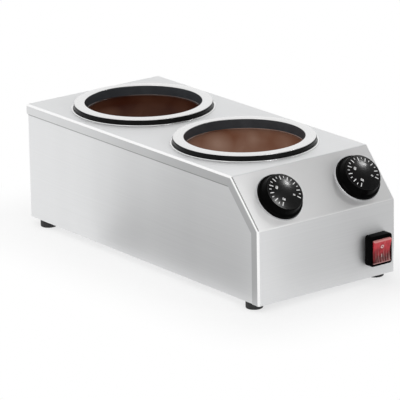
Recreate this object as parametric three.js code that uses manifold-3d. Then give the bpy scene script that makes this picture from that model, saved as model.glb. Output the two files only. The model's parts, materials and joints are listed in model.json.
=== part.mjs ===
// Twin-pot chocolate melting machine: a bent stainless housing, two lift-out pots in heated
// wells, two thermostat dials on a sloping panel and a lit rocker switch.
// Millimetres. X runs across the width, Y from the control end to the rear, Z up. The origin
// is on the table under the middle of the housing, which comes to 450 x 200 x 150.
import * as THREE from 'three';
import { mergeVertices } from 'three/addons/utils/BufferGeometryUtils.js';
import Module from 'manifold-3d';

// Sheet metal and fits
const SHEET = 1;
const FIT = 0.3;
const OVERRUN = 5;
const PANEL_BEND = 2.6;
const SIDE_BEND = 2.2;
const FLANGE_DEPTH = 12;
const LEDGE_DEPTH = 20;

// Pots, chocolate and the rings round the pots
const POT_RADIUS = 70.5;
const POT_WALL = 1.5;
const POT_DEPTH = 112;
const POT_CORNER = 8;
const RIM_WIDTH = 12.5;
const RIM_EDGE = 0.9;
const RIM_CROWN = 0.5;
const CHOCOLATE_DROP = 12.5;
const MENISCUS = 0.8;
const SEAL_PROUD = 0.6;
const SEAL_LIP = 3.6;
const SEAL_HEIGHT = 5.5;
const SEAL_CHAMFER = 0.6;
const COLLAR_WIDTH = 2.8;
const COLLAR_HEIGHT = 2;

// Heated wells under the deck
const AIR_GAP = 1.2;
const WELL_WALL = 1.5;
const BAND_THICKNESS = 2.5;
const BAND_HEIGHT_SHARE = 0.36;
const BAND_RISE = 10;
const BAND_GAP = 10;
const EAR_REACH = 12;
const EAR_THICKNESS = 2;
const TERMINAL_SIZE = { wide: 16, deep: 7, tall: 12 };
const BULB_RADIUS = 3;
const BULB_LENGTH_SHARE = 0.28;
const BULB_ABOVE_BAND = 5;
const CLIP_THICKNESS = 0.8;
const CLIP_TAB = 5;
const CLIP_HEIGHT = 10;
const BRACKET_HEIGHT = 29.9;
const BRACKET_DEPTH = 40;
const BRACKET_TOP_HALF = 42;
const BRACKET_FOOT = 18;

// Deck margins and the sloping panel
const SIDE_MARGIN = 13.3;
const FRONT_MARGIN = 15.1;
const MIDDLE_MARGIN = 22.6;
const REAR_MARGIN = 17.3;
const SLOPE_RUN = 48.2;
const SLOPE_DROP = 53.4;

// Feet and fasteners
const FOOT_HEIGHT = 8.5;
const FOOT_RADIUS = 10;
const FOOT_CHAMFER = 1.3;
const FOOT_RECESS = 3.6;
const FOOT_FROM_SIDE = 11;
const FOOT_FROM_FRONT = 22;
const FOOT_FROM_REAR = 26;
const SCREW = { head: 3.6, headHeight: 2, shank: 1.9, length: 8 };
const SCREW_EDGE_SHARES = { height: 0.45, radius: 0.7 };
const RECESS = { width: 0.8, reach: 2.2, depth: 1.1 };
const BASE_SCREW_SHARE = 0.41;
const COVER_SCREW_FROM_SIDE = 32;
const VENT = { length: 34, width: 4, pitch: 13, count: 4 };

// Dials, thermostats and their sensors
const KNOB_SPACING_SHARE = 0.57;
const KNOB_OFFSET = 5.5;
const KNOB_BELOW_MIDDLE = 2.4;
const KNOB_RADIUS = 28.3;
const KNOB_BODY_RADIUS = 25;
const KNOB_CAP_RADIUS = 23.4;
const KNOB_SKIRT = 3;
const KNOB_HEIGHT = 16.4;
const KNOB_CROWN = 1.8;
const KNOB_EDGE = 1;
const KNOB_WALL = 2;
const KNOB_BOSS = 6;
const BEZEL_WIDTH = 4.5;
const BEZEL_HEIGHT = 1.3;
const BEZEL_PROUD = 0.7;
const SHAFT_RADIUS = 3;
const SHAFT_FLAT = 0.8;
const SHAFT_SEAT = 10;
const SHAFT_CLEARANCE = 1.2;
const THERMOSTAT = { wide: 36, tall: 30, deep: 24 };
const THERMOSTAT_PLATE = { wide: 44, tall: 34, thick: 1.5 };
const THERMOSTAT_SCREW_FROM_AXIS = 14;
const CAPILLARY_RADIUS = 1;

// Rocker switch on the front panel
const SWITCH = { wide: 31, tall: 36, reach: 11.5, corner: 3, behind: 20 };
const SWITCH_SIDE_FRAME = 2.3;
const SWITCH_END_FRAME = 3.4;
const SWITCH_WALL = 0.9;
const SWITCH_FROM_SIDE = 29;
const SWITCH_FROM_BOTTOM = 33.9;
const SWITCH_FLOOR = 1;
const ROCKER_GAP = 0.4;
const ROCKER_PIVOT_DEPTH = 2;
const ROCKER_BACK = 7;
const ROCKER_PROUD = 2.5;
const ROCKER_DISH = 0.5;
const ROCKER_TILT = THREE.MathUtils.degToRad(9);

// Cord gland, terminal block and wires
const GLAND = { bore: 4.3, barrel: 8, flange: 11.5, dome: 9.6, nose: 7, reach: 17.4, inside: 12 };
const GLAND_FLANGE_THICKNESS = 5;
const GLAND_NOSE_TAPER = 5;
const GLAND_NUT_THICKNESS = 4;
const GLAND_NUT_RADIUS = 12.5;
const GLAND_FROM_SIDE = 40;
const GLAND_RISE = 25.5;
const BLOCK = { wide: 40, deep: 22, tall: 17, ways: 3, bore: 2.6 };
const BLOCK_WAY_SHARE = 0.35;
const BLOCK_FROM_SIDE = 40;
const WIRE_RADIUS = 1.2;
const WIRE_FROM_WALL = 8;
const LEAD_OUT = 6;

// Facets: how many sides each kind of round piece has
const RING_SIDES = 40;
const KNOB_SIDES = 28;
const FOOT_SIDES = 14;
const SCREW_SIDES = 8;
const TUBE_SIDES = 6;
const GLAND_SIDES = 16;
const HEX_SIDES = 6;
const BEND_STEPS = 3;
const TUBE_STEPS_PER_POINT = 3;

// Heights, from the table up
const BODY_BOTTOM = FOOT_HEIGHT;
const LEDGE_TOP = BODY_BOTTOM + SHEET;
const PLATE_BOTTOM = LEDGE_TOP + FIT;
const PLATE_TOP = PLATE_BOTTOM + SHEET;
const BRACKET_BOTTOM = PLATE_TOP + FIT;
const WELL_BOTTOM = BRACKET_BOTTOM + BRACKET_HEIGHT + FIT;
const WELL_FLOOR = WELL_BOTTOM + WELL_WALL;
const POT_BOTTOM = WELL_FLOOR + AIR_GAP;
const POT_FLOOR = POT_BOTTOM + POT_WALL;
const RIM_TOP = POT_FLOOR + POT_DEPTH;
const RIM_UNDERSIDE = RIM_TOP - RIM_CROWN - RIM_EDGE;
const SEAL_TOP = RIM_UNDERSIDE - FIT;
const SEAL_BOTTOM = SEAL_TOP - SEAL_HEIGHT;
const DECK = SEAL_BOTTOM - FIT;
const CHOCOLATE_TOP = RIM_TOP - CHOCOLATE_DROP;

// Radii, from the chocolate out
const POT_OUTER = POT_RADIUS + POT_WALL;
const WELL_RADIUS = POT_OUTER + AIR_GAP;
const WELL_OUTER = WELL_RADIUS + WELL_WALL;
const RIM_RADIUS = POT_RADIUS + RIM_WIDTH;
const SEAL_RADIUS = RIM_RADIUS + SEAL_PROUD;
const WELL_FLANGE_RADIUS = SEAL_RADIUS - SEAL_LIP - FIT;
const COLLAR_INNER = SEAL_RADIUS + FIT;
const COLLAR_RADIUS = COLLAR_INNER + COLLAR_WIDTH;
const DECK_HOLE = WELL_OUTER + FIT;
const BAND_INNER = WELL_OUTER + FIT;
const BAND_OUTER = BAND_INNER + BAND_THICKNESS;

// Plan
const HALF_WIDTH = COLLAR_RADIUS + SIDE_MARGIN;
const DECK_LENGTH = FRONT_MARGIN + 4 * COLLAR_RADIUS + MIDDLE_MARGIN + REAR_MARGIN;
const HALF_LENGTH = (DECK_LENGTH + SLOPE_RUN) / 2;
const REAR_POT_Y = HALF_LENGTH - REAR_MARGIN - COLLAR_RADIUS;
const FRONT_POT_Y = REAR_POT_Y - 2 * COLLAR_RADIUS - MIDDLE_MARGIN;
const SLOPE_TOP_Y = SLOPE_RUN - HALF_LENGTH;
const CASING_OFFSET = SHEET + FIT;
const CASING_HALF_WIDTH = HALF_WIDTH - CASING_OFFSET;
const CASING_REAR = HALF_LENGTH - CASING_OFFSET;
const LEDGE_INNER_X = CASING_HALF_WIDTH - SHEET - LEDGE_DEPTH;
const FOOT_X = HALF_WIDTH - FOOT_FROM_SIDE;
const GLAND_X = GLAND_FROM_SIDE - HALF_WIDTH;
const BLOCK_X = BLOCK_FROM_SIDE - HALF_WIDTH;
const COVER_SCREW_X = HALF_WIDTH - COVER_SCREW_FROM_SIDE;
const BASE_SCREW_Y = HALF_LENGTH * BASE_SCREW_SHARE;
const GLAND_Z = BODY_BOTTOM + GLAND_RISE;
const COVER_SCREW_Z = DECK - FLANGE_DEPTH / 2;
const SWITCH_X = HALF_WIDTH - SWITCH_FROM_SIDE;
const SWITCH_Z = BODY_BOTTOM + SWITCH_FROM_BOTTOM;

// The sloping panel: its tilt, its length and the point where each dial's axis meets it
const SLOPE_ANGLE = Math.atan2(SLOPE_DROP, SLOPE_RUN);
const SLOPE_LENGTH = Math.hypot(SLOPE_DROP, SLOPE_RUN);
const DIAL_DOWN = SLOPE_LENGTH / 2 + KNOB_BELOW_MIDDLE;
const DIAL_Y = SLOPE_TOP_Y - DIAL_DOWN * Math.cos(SLOPE_ANGLE);
const DIAL_Z = DECK - DIAL_DOWN * Math.sin(SLOPE_ANGLE);
const THERMOSTAT_FRONT = -(SHEET + FIT);
const THERMOSTAT_BACK = THERMOSTAT_FRONT - THERMOSTAT_PLATE.thick - THERMOSTAT.deep;

const STATIONS = [
  { end: 'front', y: FRONT_POT_Y, ears: Math.PI / 2, terminal: -Math.PI / 2, bulb: -3 * Math.PI / 4 },
  { end: 'rear', y: REAR_POT_Y, ears: -Math.PI / 2, terminal: 0, bulb: -Math.PI / 4 },
];
const DIALS = [
  { side: 'left', x: KNOB_OFFSET - KNOB_SPACING_SHARE * HALF_WIDTH },
  { side: 'right', x: KNOB_OFFSET + KNOB_SPACING_SHARE * HALF_WIDTH },
];
const FEET = ['left', 'right'].flatMap((side) => [
  { name: `front_${side}`, x: side === 'left' ? -FOOT_X : FOOT_X, y: FOOT_FROM_FRONT - HALF_LENGTH },
  { name: `rear_${side}`, x: side === 'left' ? -FOOT_X : FOOT_X, y: HALF_LENGTH - FOOT_FROM_REAR },
]);
const LEDGE_MIDDLE_X = CASING_HALF_WIDTH - SHEET - LEDGE_DEPTH / 2;
const BASE_SCREWS = ['left', 'right'].flatMap((side) => ['front', 'rear'].map((end) => ({
  name: `${end}_${side}`,
  x: side === 'left' ? -LEDGE_MIDDLE_X : LEDGE_MIDDLE_X,
  y: end === 'front' ? -BASE_SCREW_Y : BASE_SCREW_Y,
})));

// Materials
const metal = (color, roughness) => new THREE.MeshStandardMaterial({ color, roughness, metalness: 1 });
const dull = (color, roughness) => new THREE.MeshStandardMaterial({ color, roughness, metalness: 0 });
const MATERIALS = {
  brushedSteel: () => metal(0xc9cacb, 0.38),
  polishedSteel: () => metal(0xe3e4e5, 0.16),
  aluminium: () => metal(0xd6d7d8, 0.3),
  zinc: () => metal(0xa9acb0, 0.42),
  rubber: () => dull(0x121212, 0.75),
  blackPlastic: () => dull(0x0d0d0e, 0.28),
  redLens: () => dull(0xb3202c, 0.18),
  milkChocolate: () => dull(0x7a4632, 0.3),
  darkChocolate: () => dull(0x3c1a0e, 0.25),
  mica: () => dull(0x8d7a5c, 0.7),
  ceramic: () => dull(0xe8e4da, 0.5),
  wire: () => dull(0x8c1f1a, 0.5),
};

// Solid modelling helpers
const wasm = await Module();
wasm.setup();

function turnedOutward(positions, triangles) {
  const [a, b, c] = [new THREE.Vector3(), new THREE.Vector3(), new THREE.Vector3()];
  let volume = 0;
  for (let i = 0; i < triangles.length; i += 3) {
    a.fromBufferAttribute(positions, triangles[i]);
    b.fromBufferAttribute(positions, triangles[i + 1]);
    c.fromBufferAttribute(positions, triangles[i + 2]);
    volume += a.dot(b.cross(c));
  }
  return volume < 0 ? triangles.toReversed() : triangles;
}

// One closed body: shared vertices merged, flat slivers dropped and faces turned outward
function closed(geometry) {
  const bare = new THREE.BufferGeometry();
  bare.setAttribute('position', geometry.getAttribute('position'));
  bare.setIndex(geometry.index);
  const merged = mergeVertices(bare);
  const triangles = [];
  for (let i = 0; i < merged.index.count; i += 3) {
    const corners = [0, 1, 2].map((k) => merged.index.getX(i + k));
    if (new Set(corners).size === corners.length) triangles.push(...corners);
  }
  merged.setIndex(turnedOutward(merged.getAttribute('position'), triangles));
  return merged;
}

function solid(geometry) {
  const { index, attributes } = closed(geometry);
  return new wasm.Manifold(new wasm.Mesh({
    numProp: 3,
    vertProperties: new Float32Array(attributes.position.array),
    triVerts: new Uint32Array(index.array),
  }));
}

function surface(manifold) {
  const { vertProperties, triVerts } = manifold.getMesh();
  const geometry = new THREE.BufferGeometry();
  geometry.setAttribute('position', new THREE.Float32BufferAttribute(vertProperties, 3));
  geometry.setIndex(Array.from(triVerts));
  return geometry;
}

const joined = (...pieces) => surface(pieces.map(solid).reduce((all, piece) => all.add(piece)));
const cut = (piece, ...tools) => surface(
  tools.map(solid).reduce((rest, tool) => rest.subtract(tool), solid(piece)),
);
const common = (piece, other) => surface(solid(piece).intersect(solid(other)));

// Outline helpers
const at = (x, y) => new THREE.Vector2(x, y);
const pairs = (...points) => points.map(([x, y]) => at(x, y));
const rectangle = (x0, x1, y0, y1) => pairs([x0, y0], [x1, y0], [x1, y1], [x0, y1]);
const centred = (width, height) => rectangle(-width / 2, width / 2, -height / 2, height / 2);

function arc(centre, radius, from, to, steps) {
  return Array.from({ length: steps + 1 }, (_, i) => {
    const angle = from + (to - from) * i / steps;
    return at(centre.x + radius * Math.cos(angle), centre.y + radius * Math.sin(angle));
  });
}

const circle = (radius, sides, centre = at(0, 0)) => (
  arc(centre, radius, 0, 2 * Math.PI, sides).slice(0, sides)
);

// A corner of a convex outline: its place, its half angle and the direction to its inside
function cornerFrame(corners, index) {
  const corner = corners[index];
  const toBefore = corners.at(index - 1).clone().sub(corner).normalize();
  const toAfter = corners[(index + 1) % corners.length].clone().sub(corner).normalize();
  const half = Math.acos(toBefore.dot(toAfter)) / 2;
  return { corner, toBefore, half, inside: toBefore.clone().add(toAfter).normalize() };
}

// The outline moved inward by one distance all round
const inset = (corners, distance) => corners.map((_, index) => {
  const { corner, half, inside } = cornerFrame(corners, index);
  return corner.clone().addScaledVector(inside, distance / Math.sin(half));
});

// The outline with each corner rounded; corners run anticlockwise
const rounded = (corners, radius, steps = BEND_STEPS) => corners.flatMap((_, index) => {
  const { corner, toBefore, half, inside } = cornerFrame(corners, index);
  const centre = corner.clone().addScaledVector(inside, radius / Math.sin(half));
  const start = corner.clone().addScaledVector(toBefore, radius / Math.tan(half)).sub(centre);
  return arc(centre, radius, start.angle(), start.angle() + Math.PI - 2 * half, steps);
});

// The outline of a bent strip, out along one side of its centre line and back along the other
function strip(line, thickness) {
  const side = (offset) => line.map((point, i) => {
    const arriving = point.clone().sub(line[i - 1] ?? point).normalize();
    const leaving = (line[i + 1] ?? point).clone().sub(point).normalize();
    const along = arriving.clone().add(leaving).normalize();
    const stretch = along.dot(leaving.lengthSq() > 0 ? leaving : arriving);
    return point.clone().addScaledVector(at(-along.y, along.x), offset / stretch);
  });
  return [...side(-thickness / 2), ...side(thickness / 2).reverse()];
}

// Shape helpers
function plate(outline, thickness, holes = []) {
  const shape = new THREE.Shape(outline);
  shape.holes = holes.map((hole) => new THREE.Path(hole));
  return new THREE.ExtrudeGeometry(shape, { depth: thickness, bevelEnabled: false });
}

// Outline in Y and Z, running across X about the middle
const acrossX = (outline, width) => plate(outline, width)
  .translate(0, 0, -width / 2)
  .applyMatrix4(new THREE.Matrix4().makeBasis(
    new THREE.Vector3(0, 1, 0), new THREE.Vector3(0, 0, 1), new THREE.Vector3(1, 0, 0),
  ));

// Outline in X and Z, running along Y about the middle
const alongY = (outline, length) => plate(outline, length)
  .translate(0, 0, -length / 2)
  .rotateX(Math.PI / 2);

// The same as acrossX with rounded long edges
function roundedAcrossX(outline, width, radius) {
  const depth = width - 2 * radius;
  return new THREE.ExtrudeGeometry(new THREE.Shape(outline), {
    depth, bevelThickness: radius, bevelSize: radius, bevelOffset: -radius, bevelSegments: BEND_STEPS,
  }).translate(0, 0, -depth / 2).applyMatrix4(new THREE.Matrix4().makeBasis(
    new THREE.Vector3(0, 1, 0), new THREE.Vector3(0, 0, 1), new THREE.Vector3(1, 0, 0),
  ));
}

const block = ([x0, x1], [y0, y1], [z0, z1]) => new THREE.BoxGeometry(x1 - x0, y1 - y0, z1 - z0)
  .translate((x0 + x1) / 2, (y0 + y1) / 2, (z0 + z1) / 2);

// Profile of radius and height, turned about Z
const turned = (profile, sides) => new THREE.LatheGeometry(profile, sides).rotateX(Math.PI / 2);
const ring = (profile, sides) => turned([...profile, profile[0]], sides);
const rod = (radius, bottom, top, sides) => turned(
  pairs([0, bottom], [radius, bottom], [radius, top], [0, top]), sides,
);

function tube(points, radius) {
  const path = new THREE.CatmullRomCurve3(points, false, 'centripetal');
  const section = new THREE.Shape(circle(radius, TUBE_SIDES));
  const steps = points.length * TUBE_STEPS_PER_POINT;
  return new THREE.ExtrudeGeometry(section, { extrudePath: path, steps, bevelEnabled: false });
}

// Scene assembly
const group = new THREE.Group();
group.name = 'chocolate_melting_machine';

function put(parent, name, geometry, material, place = [0, 0, 0]) {
  const mesh = new THREE.Mesh(closed(geometry), MATERIALS[material]());
  mesh.name = name;
  mesh.position.set(...place);
  parent.add(mesh);
  return mesh;
}

function nest(parent, place, tilt = 0) {
  const child = new THREE.Group();
  child.position.set(...place);
  child.rotation.x = tilt;
  parent.add(child);
  return child;
}

// Housing outline seen from the side, anticlockwise from the front bottom corner; it runs below
// the housing, and each sheet is cut off level at its own bottom edge
const BODY_CORNERS = pairs(
  [-HALF_LENGTH, BODY_BOTTOM - OVERRUN],
  [HALF_LENGTH, BODY_BOTTOM - OVERRUN],
  [HALF_LENGTH, DECK],
  [SLOPE_TOP_Y, DECK],
  [-HALF_LENGTH, DECK - SLOPE_DROP],
);
const everywhereBelow = (height) => block(
  [-HALF_WIDTH - OVERRUN, HALF_WIDTH + OVERRUN],
  [-HALF_LENGTH - OVERRUN, HALF_LENGTH + OVERRUN],
  [BODY_BOTTOM - 3 * OVERRUN, height],
);
const screwHole = SCREW.shank + FIT;
const coverScrewHole = (x) => rod(screwHole, -OVERRUN, OVERRUN, SCREW_SIDES)
  .rotateX(Math.PI / 2)
  .translate(x, CASING_REAR, COVER_SCREW_Z);

// A cutter given in a dial's own frame, moved to the sloping panel
const ontoSlope = (geometry, x) => geometry.rotateX(SLOPE_ANGLE).translate(x, DIAL_Y, DIAL_Z);

function slopeHoles({ x }) {
  const holes = [rod(SHAFT_RADIUS + SHAFT_CLEARANCE, -OVERRUN, OVERRUN, SCREW_SIDES)];
  for (const offset of [-THERMOSTAT_SCREW_FROM_AXIS, THERMOSTAT_SCREW_FROM_AXIS]) {
    holes.push(rod(screwHole, -OVERRUN, OVERRUN, SCREW_SIDES).translate(offset, 0, 0));
  }
  return holes.map((hole) => ontoSlope(hole, x));
}

const SWITCH_OPENING = {
  wide: SWITCH.wide - 2 * SWITCH_SIDE_FRAME,
  tall: SWITCH.tall - 2 * SWITCH_END_FRAME,
};
const SWITCH_BODY = {
  wide: SWITCH_OPENING.wide + 2 * SWITCH_WALL,
  tall: SWITCH_OPENING.tall + 2 * SWITCH_WALL,
};

// Deck, sloping panel and front panel, bent from one sheet with its edges folded down
function topCover() {
  const outer = roundedAcrossX(rounded(BODY_CORNERS, PANEL_BEND), 2 * HALF_WIDTH, SIDE_BEND);
  const innerBend = Math.max(PANEL_BEND - SHEET, FIT);
  const innerSideBend = Math.min(Math.max(SIDE_BEND - SHEET, FIT / 2), innerBend);
  const cavity = roundedAcrossX(
    rounded(inset(BODY_CORNERS, SHEET), innerBend + FIT), 2 * (HALF_WIDTH - SHEET), innerSideBend,
  );
  const [frontBottom, , rearTop, slopeTop, slopeBottom] = inset(BODY_CORNERS, FLANGE_DEPTH);
  const low = BODY_BOTTOM - 2 * OVERRUN;
  const window = acrossX([
    at(frontBottom.x, low),
    at(HALF_LENGTH + OVERRUN, low),
    at(HALF_LENGTH + OVERRUN, rearTop.y),
    slopeTop,
    slopeBottom,
  ], 2 * (HALF_WIDTH + OVERRUN));
  const wells = STATIONS.map(({ y }) => rod(DECK_HOLE, DECK - OVERRUN, DECK + OVERRUN, RING_SIDES)
    .translate(0, y, 0));
  const switchHole = block(
    [SWITCH_X - SWITCH_BODY.wide / 2 - FIT, SWITCH_X + SWITCH_BODY.wide / 2 + FIT],
    [-HALF_LENGTH - OVERRUN, OVERRUN - HALF_LENGTH],
    [SWITCH_Z - SWITCH_BODY.tall / 2 - FIT, SWITCH_Z + SWITCH_BODY.tall / 2 + FIT],
  );
  const sheet = cut(
    outer, cavity, window, everywhereBelow(BODY_BOTTOM), ...wells, switchHole,
    ...DIALS.flatMap(slopeHoles),
    coverScrewHole(-COVER_SCREW_X), coverScrewHole(COVER_SCREW_X),
  );
  const returnHalf = CASING_HALF_WIDTH - SHEET - FIT;
  const bottomReturn = block(
    [-returnHalf, returnHalf],
    [SHEET / 2 - HALF_LENGTH, FLANGE_DEPTH - HALF_LENGTH],
    [BODY_BOTTOM, LEDGE_TOP],
  );
  return joined(sheet, bottomReturn);
}

// Sides and rear, bent from one strip, with an inward ledge along the bottom
function bodyCasing() {
  const plan = rectangle(
    -CASING_HALF_WIDTH, CASING_HALF_WIDTH, -HALF_LENGTH - 2 * OVERRUN, CASING_REAR,
  );
  const innerPlan = inset(plan, SHEET);
  const height = DECK - BODY_BOTTOM;
  const innerBend = Math.max(SIDE_BEND - SHEET, FIT);
  const wrap = plate(rounded(plan, SIDE_BEND), height, [rounded(innerPlan, innerBend)])
    .translate(0, 0, BODY_BOTTOM);
  const side = acrossX(inset(BODY_CORNERS, SHEET + SIDE_BEND), 2 * (HALF_WIDTH + OVERRUN));
  const rearWall = block(
    [-HALF_WIDTH, HALF_WIDTH],
    [HALF_LENGTH - 2 * SIDE_BEND - SHEET, HALF_LENGTH],
    [BODY_BOTTOM - OVERRUN, DECK - SHEET - SIDE_BEND],
  );
  const walls = common(wrap, joined(side, rearWall));
  const ledgeFront = FLANGE_DEPTH + FIT - HALF_LENGTH;
  const ledgeOuter = inset(plan, SHEET / 2);
  const ledge = cut(
    plate(rounded(ledgeOuter, SIDE_BEND), SHEET).translate(0, 0, BODY_BOTTOM),
    block(
      [-LEDGE_INNER_X, LEDGE_INNER_X],
      [-2 * HALF_LENGTH, CASING_REAR - SHEET - LEDGE_DEPTH],
      [BODY_BOTTOM - OVERRUN, LEDGE_TOP + OVERRUN],
    ),
    block(
      [-HALF_WIDTH, HALF_WIDTH],
      [-2 * HALF_LENGTH, ledgeFront],
      [BODY_BOTTOM - OVERRUN, LEDGE_TOP + OVERRUN],
    ),
  );
  const glandHole = rod(GLAND.barrel + FIT, -OVERRUN, OVERRUN, GLAND_SIDES)
    .rotateX(Math.PI / 2)
    .translate(GLAND_X, CASING_REAR, GLAND_Z);
  return cut(
    joined(walls, ledge), glandHole, ...upwardHoles(),
    coverScrewHole(-COVER_SCREW_X), coverScrewHole(COVER_SCREW_X),
  );
}

// The screw holes through the ledge and the base plate
const upwardHoles = () => [...FEET, ...BASE_SCREWS].map(({ x, y }) => (
  rod(screwHole, BODY_BOTTOM - OVERRUN, PLATE_TOP + OVERRUN, SCREW_SIDES).translate(x, y, 0)
));

// Bottom panel on the ledges, with a row of air slots under each well
function basePlate() {
  const edgeX = CASING_HALF_WIDTH - SHEET - FIT;
  const outline = rectangle(-edgeX, edgeX, SHEET + FIT - HALF_LENGTH, CASING_REAR - SHEET - FIT);
  const slots = STATIONS.flatMap(({ y }) => [-1, 1].flatMap((side) => (
    Array.from({ length: VENT.count }, (_, i) => {
      const slotX = (i - (VENT.count - 1) / 2) * VENT.pitch;
      const middle = y + side * (BRACKET_DEPTH / 2 + VENT.length / 2 + VENT.width);
      return block(
        [slotX - VENT.width / 2, slotX + VENT.width / 2],
        [middle - VENT.length / 2, middle + VENT.length / 2],
        [BODY_BOTTOM, PLATE_TOP + OVERRUN],
      );
    })
  )));
  const sheet = plate(rounded(outline, SIDE_BEND + FIT), SHEET).translate(0, 0, PLATE_BOTTOM);
  return cut(sheet, ...slots, ...upwardHoles());
}

// Pan-head screw: the head's underside is at height zero and the shank points down
function screw({ recessed = false, length = SCREW.length } = {}) {
  const body = turned(pairs(
    [0, -length],
    [SCREW.shank, -length],
    [SCREW.shank, 0],
    [SCREW.head, 0],
    [SCREW.head, SCREW.headHeight * SCREW_EDGE_SHARES.height],
    [SCREW.head * SCREW_EDGE_SHARES.radius, SCREW.headHeight],
    [0, SCREW.headHeight],
  ), SCREW_SIDES);
  if (!recessed) return body;
  const top = SCREW.headHeight + OVERRUN;
  const floor = SCREW.headHeight - RECESS.depth;
  const [thin, long] = [RECESS.width / 2, RECESS.reach];
  return cut(body, joined(
    block([-long, long], [-thin, thin], [floor, top]),
    block([-thin, thin], [-long, long], [floor, top]),
  ));
}

// Rubber foot with a pocket for its screw head
const FOOT_TOP = BODY_BOTTOM - FIT;
const foot = () => ring(pairs(
  [screwHole, FOOT_RECESS],
  [SCREW.head + FIT, FOOT_RECESS],
  [SCREW.head + FIT, 0],
  [FOOT_RADIUS - FOOT_CHAMFER, 0],
  [FOOT_RADIUS, FOOT_CHAMFER],
  [FOOT_RADIUS, FOOT_TOP - FOOT_CHAMFER / 2],
  [FOOT_RADIUS - FOOT_CHAMFER / 2, FOOT_TOP],
  [screwHole, FOOT_TOP],
), FOOT_SIDES);

// Lift-out pot: a deep cup with a crowned rim that rests on the seal
function pot() {
  const outerCorner = POT_CORNER + POT_WALL;
  return turned([
    at(0, POT_BOTTOM),
    ...arc(at(POT_OUTER - outerCorner, POT_BOTTOM + outerCorner), outerCorner,
      -Math.PI / 2, 0, BEND_STEPS),
    at(POT_OUTER, RIM_UNDERSIDE),
    at(RIM_RADIUS - RIM_EDGE / 2, RIM_UNDERSIDE),
    at(RIM_RADIUS, RIM_UNDERSIDE + RIM_EDGE / 2),
    at(RIM_RADIUS - RIM_EDGE / 2, RIM_UNDERSIDE + RIM_EDGE),
    at((POT_RADIUS + RIM_RADIUS) / 2, RIM_TOP),
    at(POT_RADIUS + RIM_EDGE, RIM_TOP - RIM_CROWN / 4),
    at(POT_RADIUS, RIM_TOP - RIM_CROWN / 4 - RIM_EDGE),
    ...arc(at(POT_RADIUS - POT_CORNER, POT_FLOOR + POT_CORNER), POT_CORNER,
      0, -Math.PI / 2, BEND_STEPS),
    at(0, POT_FLOOR),
  ], RING_SIDES);
}

// Melted chocolate up to its level, with a meniscus along the pot wall
function chocolate() {
  const radius = POT_RADIUS - FIT;
  const bottom = POT_FLOOR + FIT;
  return turned([
    at(0, bottom),
    ...arc(at(radius - POT_CORNER, bottom + POT_CORNER), POT_CORNER, -Math.PI / 2, 0, BEND_STEPS),
    at(radius, CHOCOLATE_TOP + MENISCUS),
    at(radius - MENISCUS, CHOCOLATE_TOP),
    at(0, CHOCOLATE_TOP),
  ], RING_SIDES);
}

// Black ring that covers the well's flange and carries the pot's rim
const WELL_FLANGE_TOP = SEAL_BOTTOM + WELL_WALL;
const rimSeal = () => ring(pairs(
  [WELL_RADIUS, WELL_FLANGE_TOP + FIT],
  [WELL_FLANGE_RADIUS + FIT, WELL_FLANGE_TOP + FIT],
  [WELL_FLANGE_RADIUS + FIT, SEAL_BOTTOM],
  [SEAL_RADIUS, SEAL_BOTTOM],
  [SEAL_RADIUS, SEAL_TOP - SEAL_CHAMFER],
  [SEAL_RADIUS - SEAL_CHAMFER, SEAL_TOP],
  [WELL_RADIUS, SEAL_TOP],
), RING_SIDES);

// Polished bead on the deck round the seal
const collar = () => ring(pairs(
  [COLLAR_INNER, DECK + FIT],
  [COLLAR_RADIUS, DECK + FIT],
  [COLLAR_RADIUS, DECK + FIT + COLLAR_HEIGHT / 2],
  [COLLAR_RADIUS - COLLAR_WIDTH / 3, DECK + FIT + COLLAR_HEIGHT],
  [COLLAR_INNER + COLLAR_WIDTH / 3, DECK + FIT + COLLAR_HEIGHT],
  [COLLAR_INNER, DECK + FIT + COLLAR_HEIGHT / 2],
), RING_SIDES);

// Aluminium cup that hangs in the deck by its flange and heats the pot
const well = () => turned(pairs(
  [0, WELL_BOTTOM],
  [WELL_OUTER - POT_CORNER, WELL_BOTTOM],
  [WELL_OUTER, WELL_BOTTOM + POT_CORNER],
  [WELL_OUTER, SEAL_BOTTOM],
  [WELL_FLANGE_RADIUS, SEAL_BOTTOM],
  [WELL_FLANGE_RADIUS, WELL_FLANGE_TOP],
  [WELL_RADIUS, WELL_FLANGE_TOP],
  [WELL_RADIUS, WELL_FLOOR + POT_CORNER],
  [WELL_RADIUS - POT_CORNER, WELL_FLOOR],
  [0, WELL_FLOOR],
), RING_SIDES);

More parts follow.
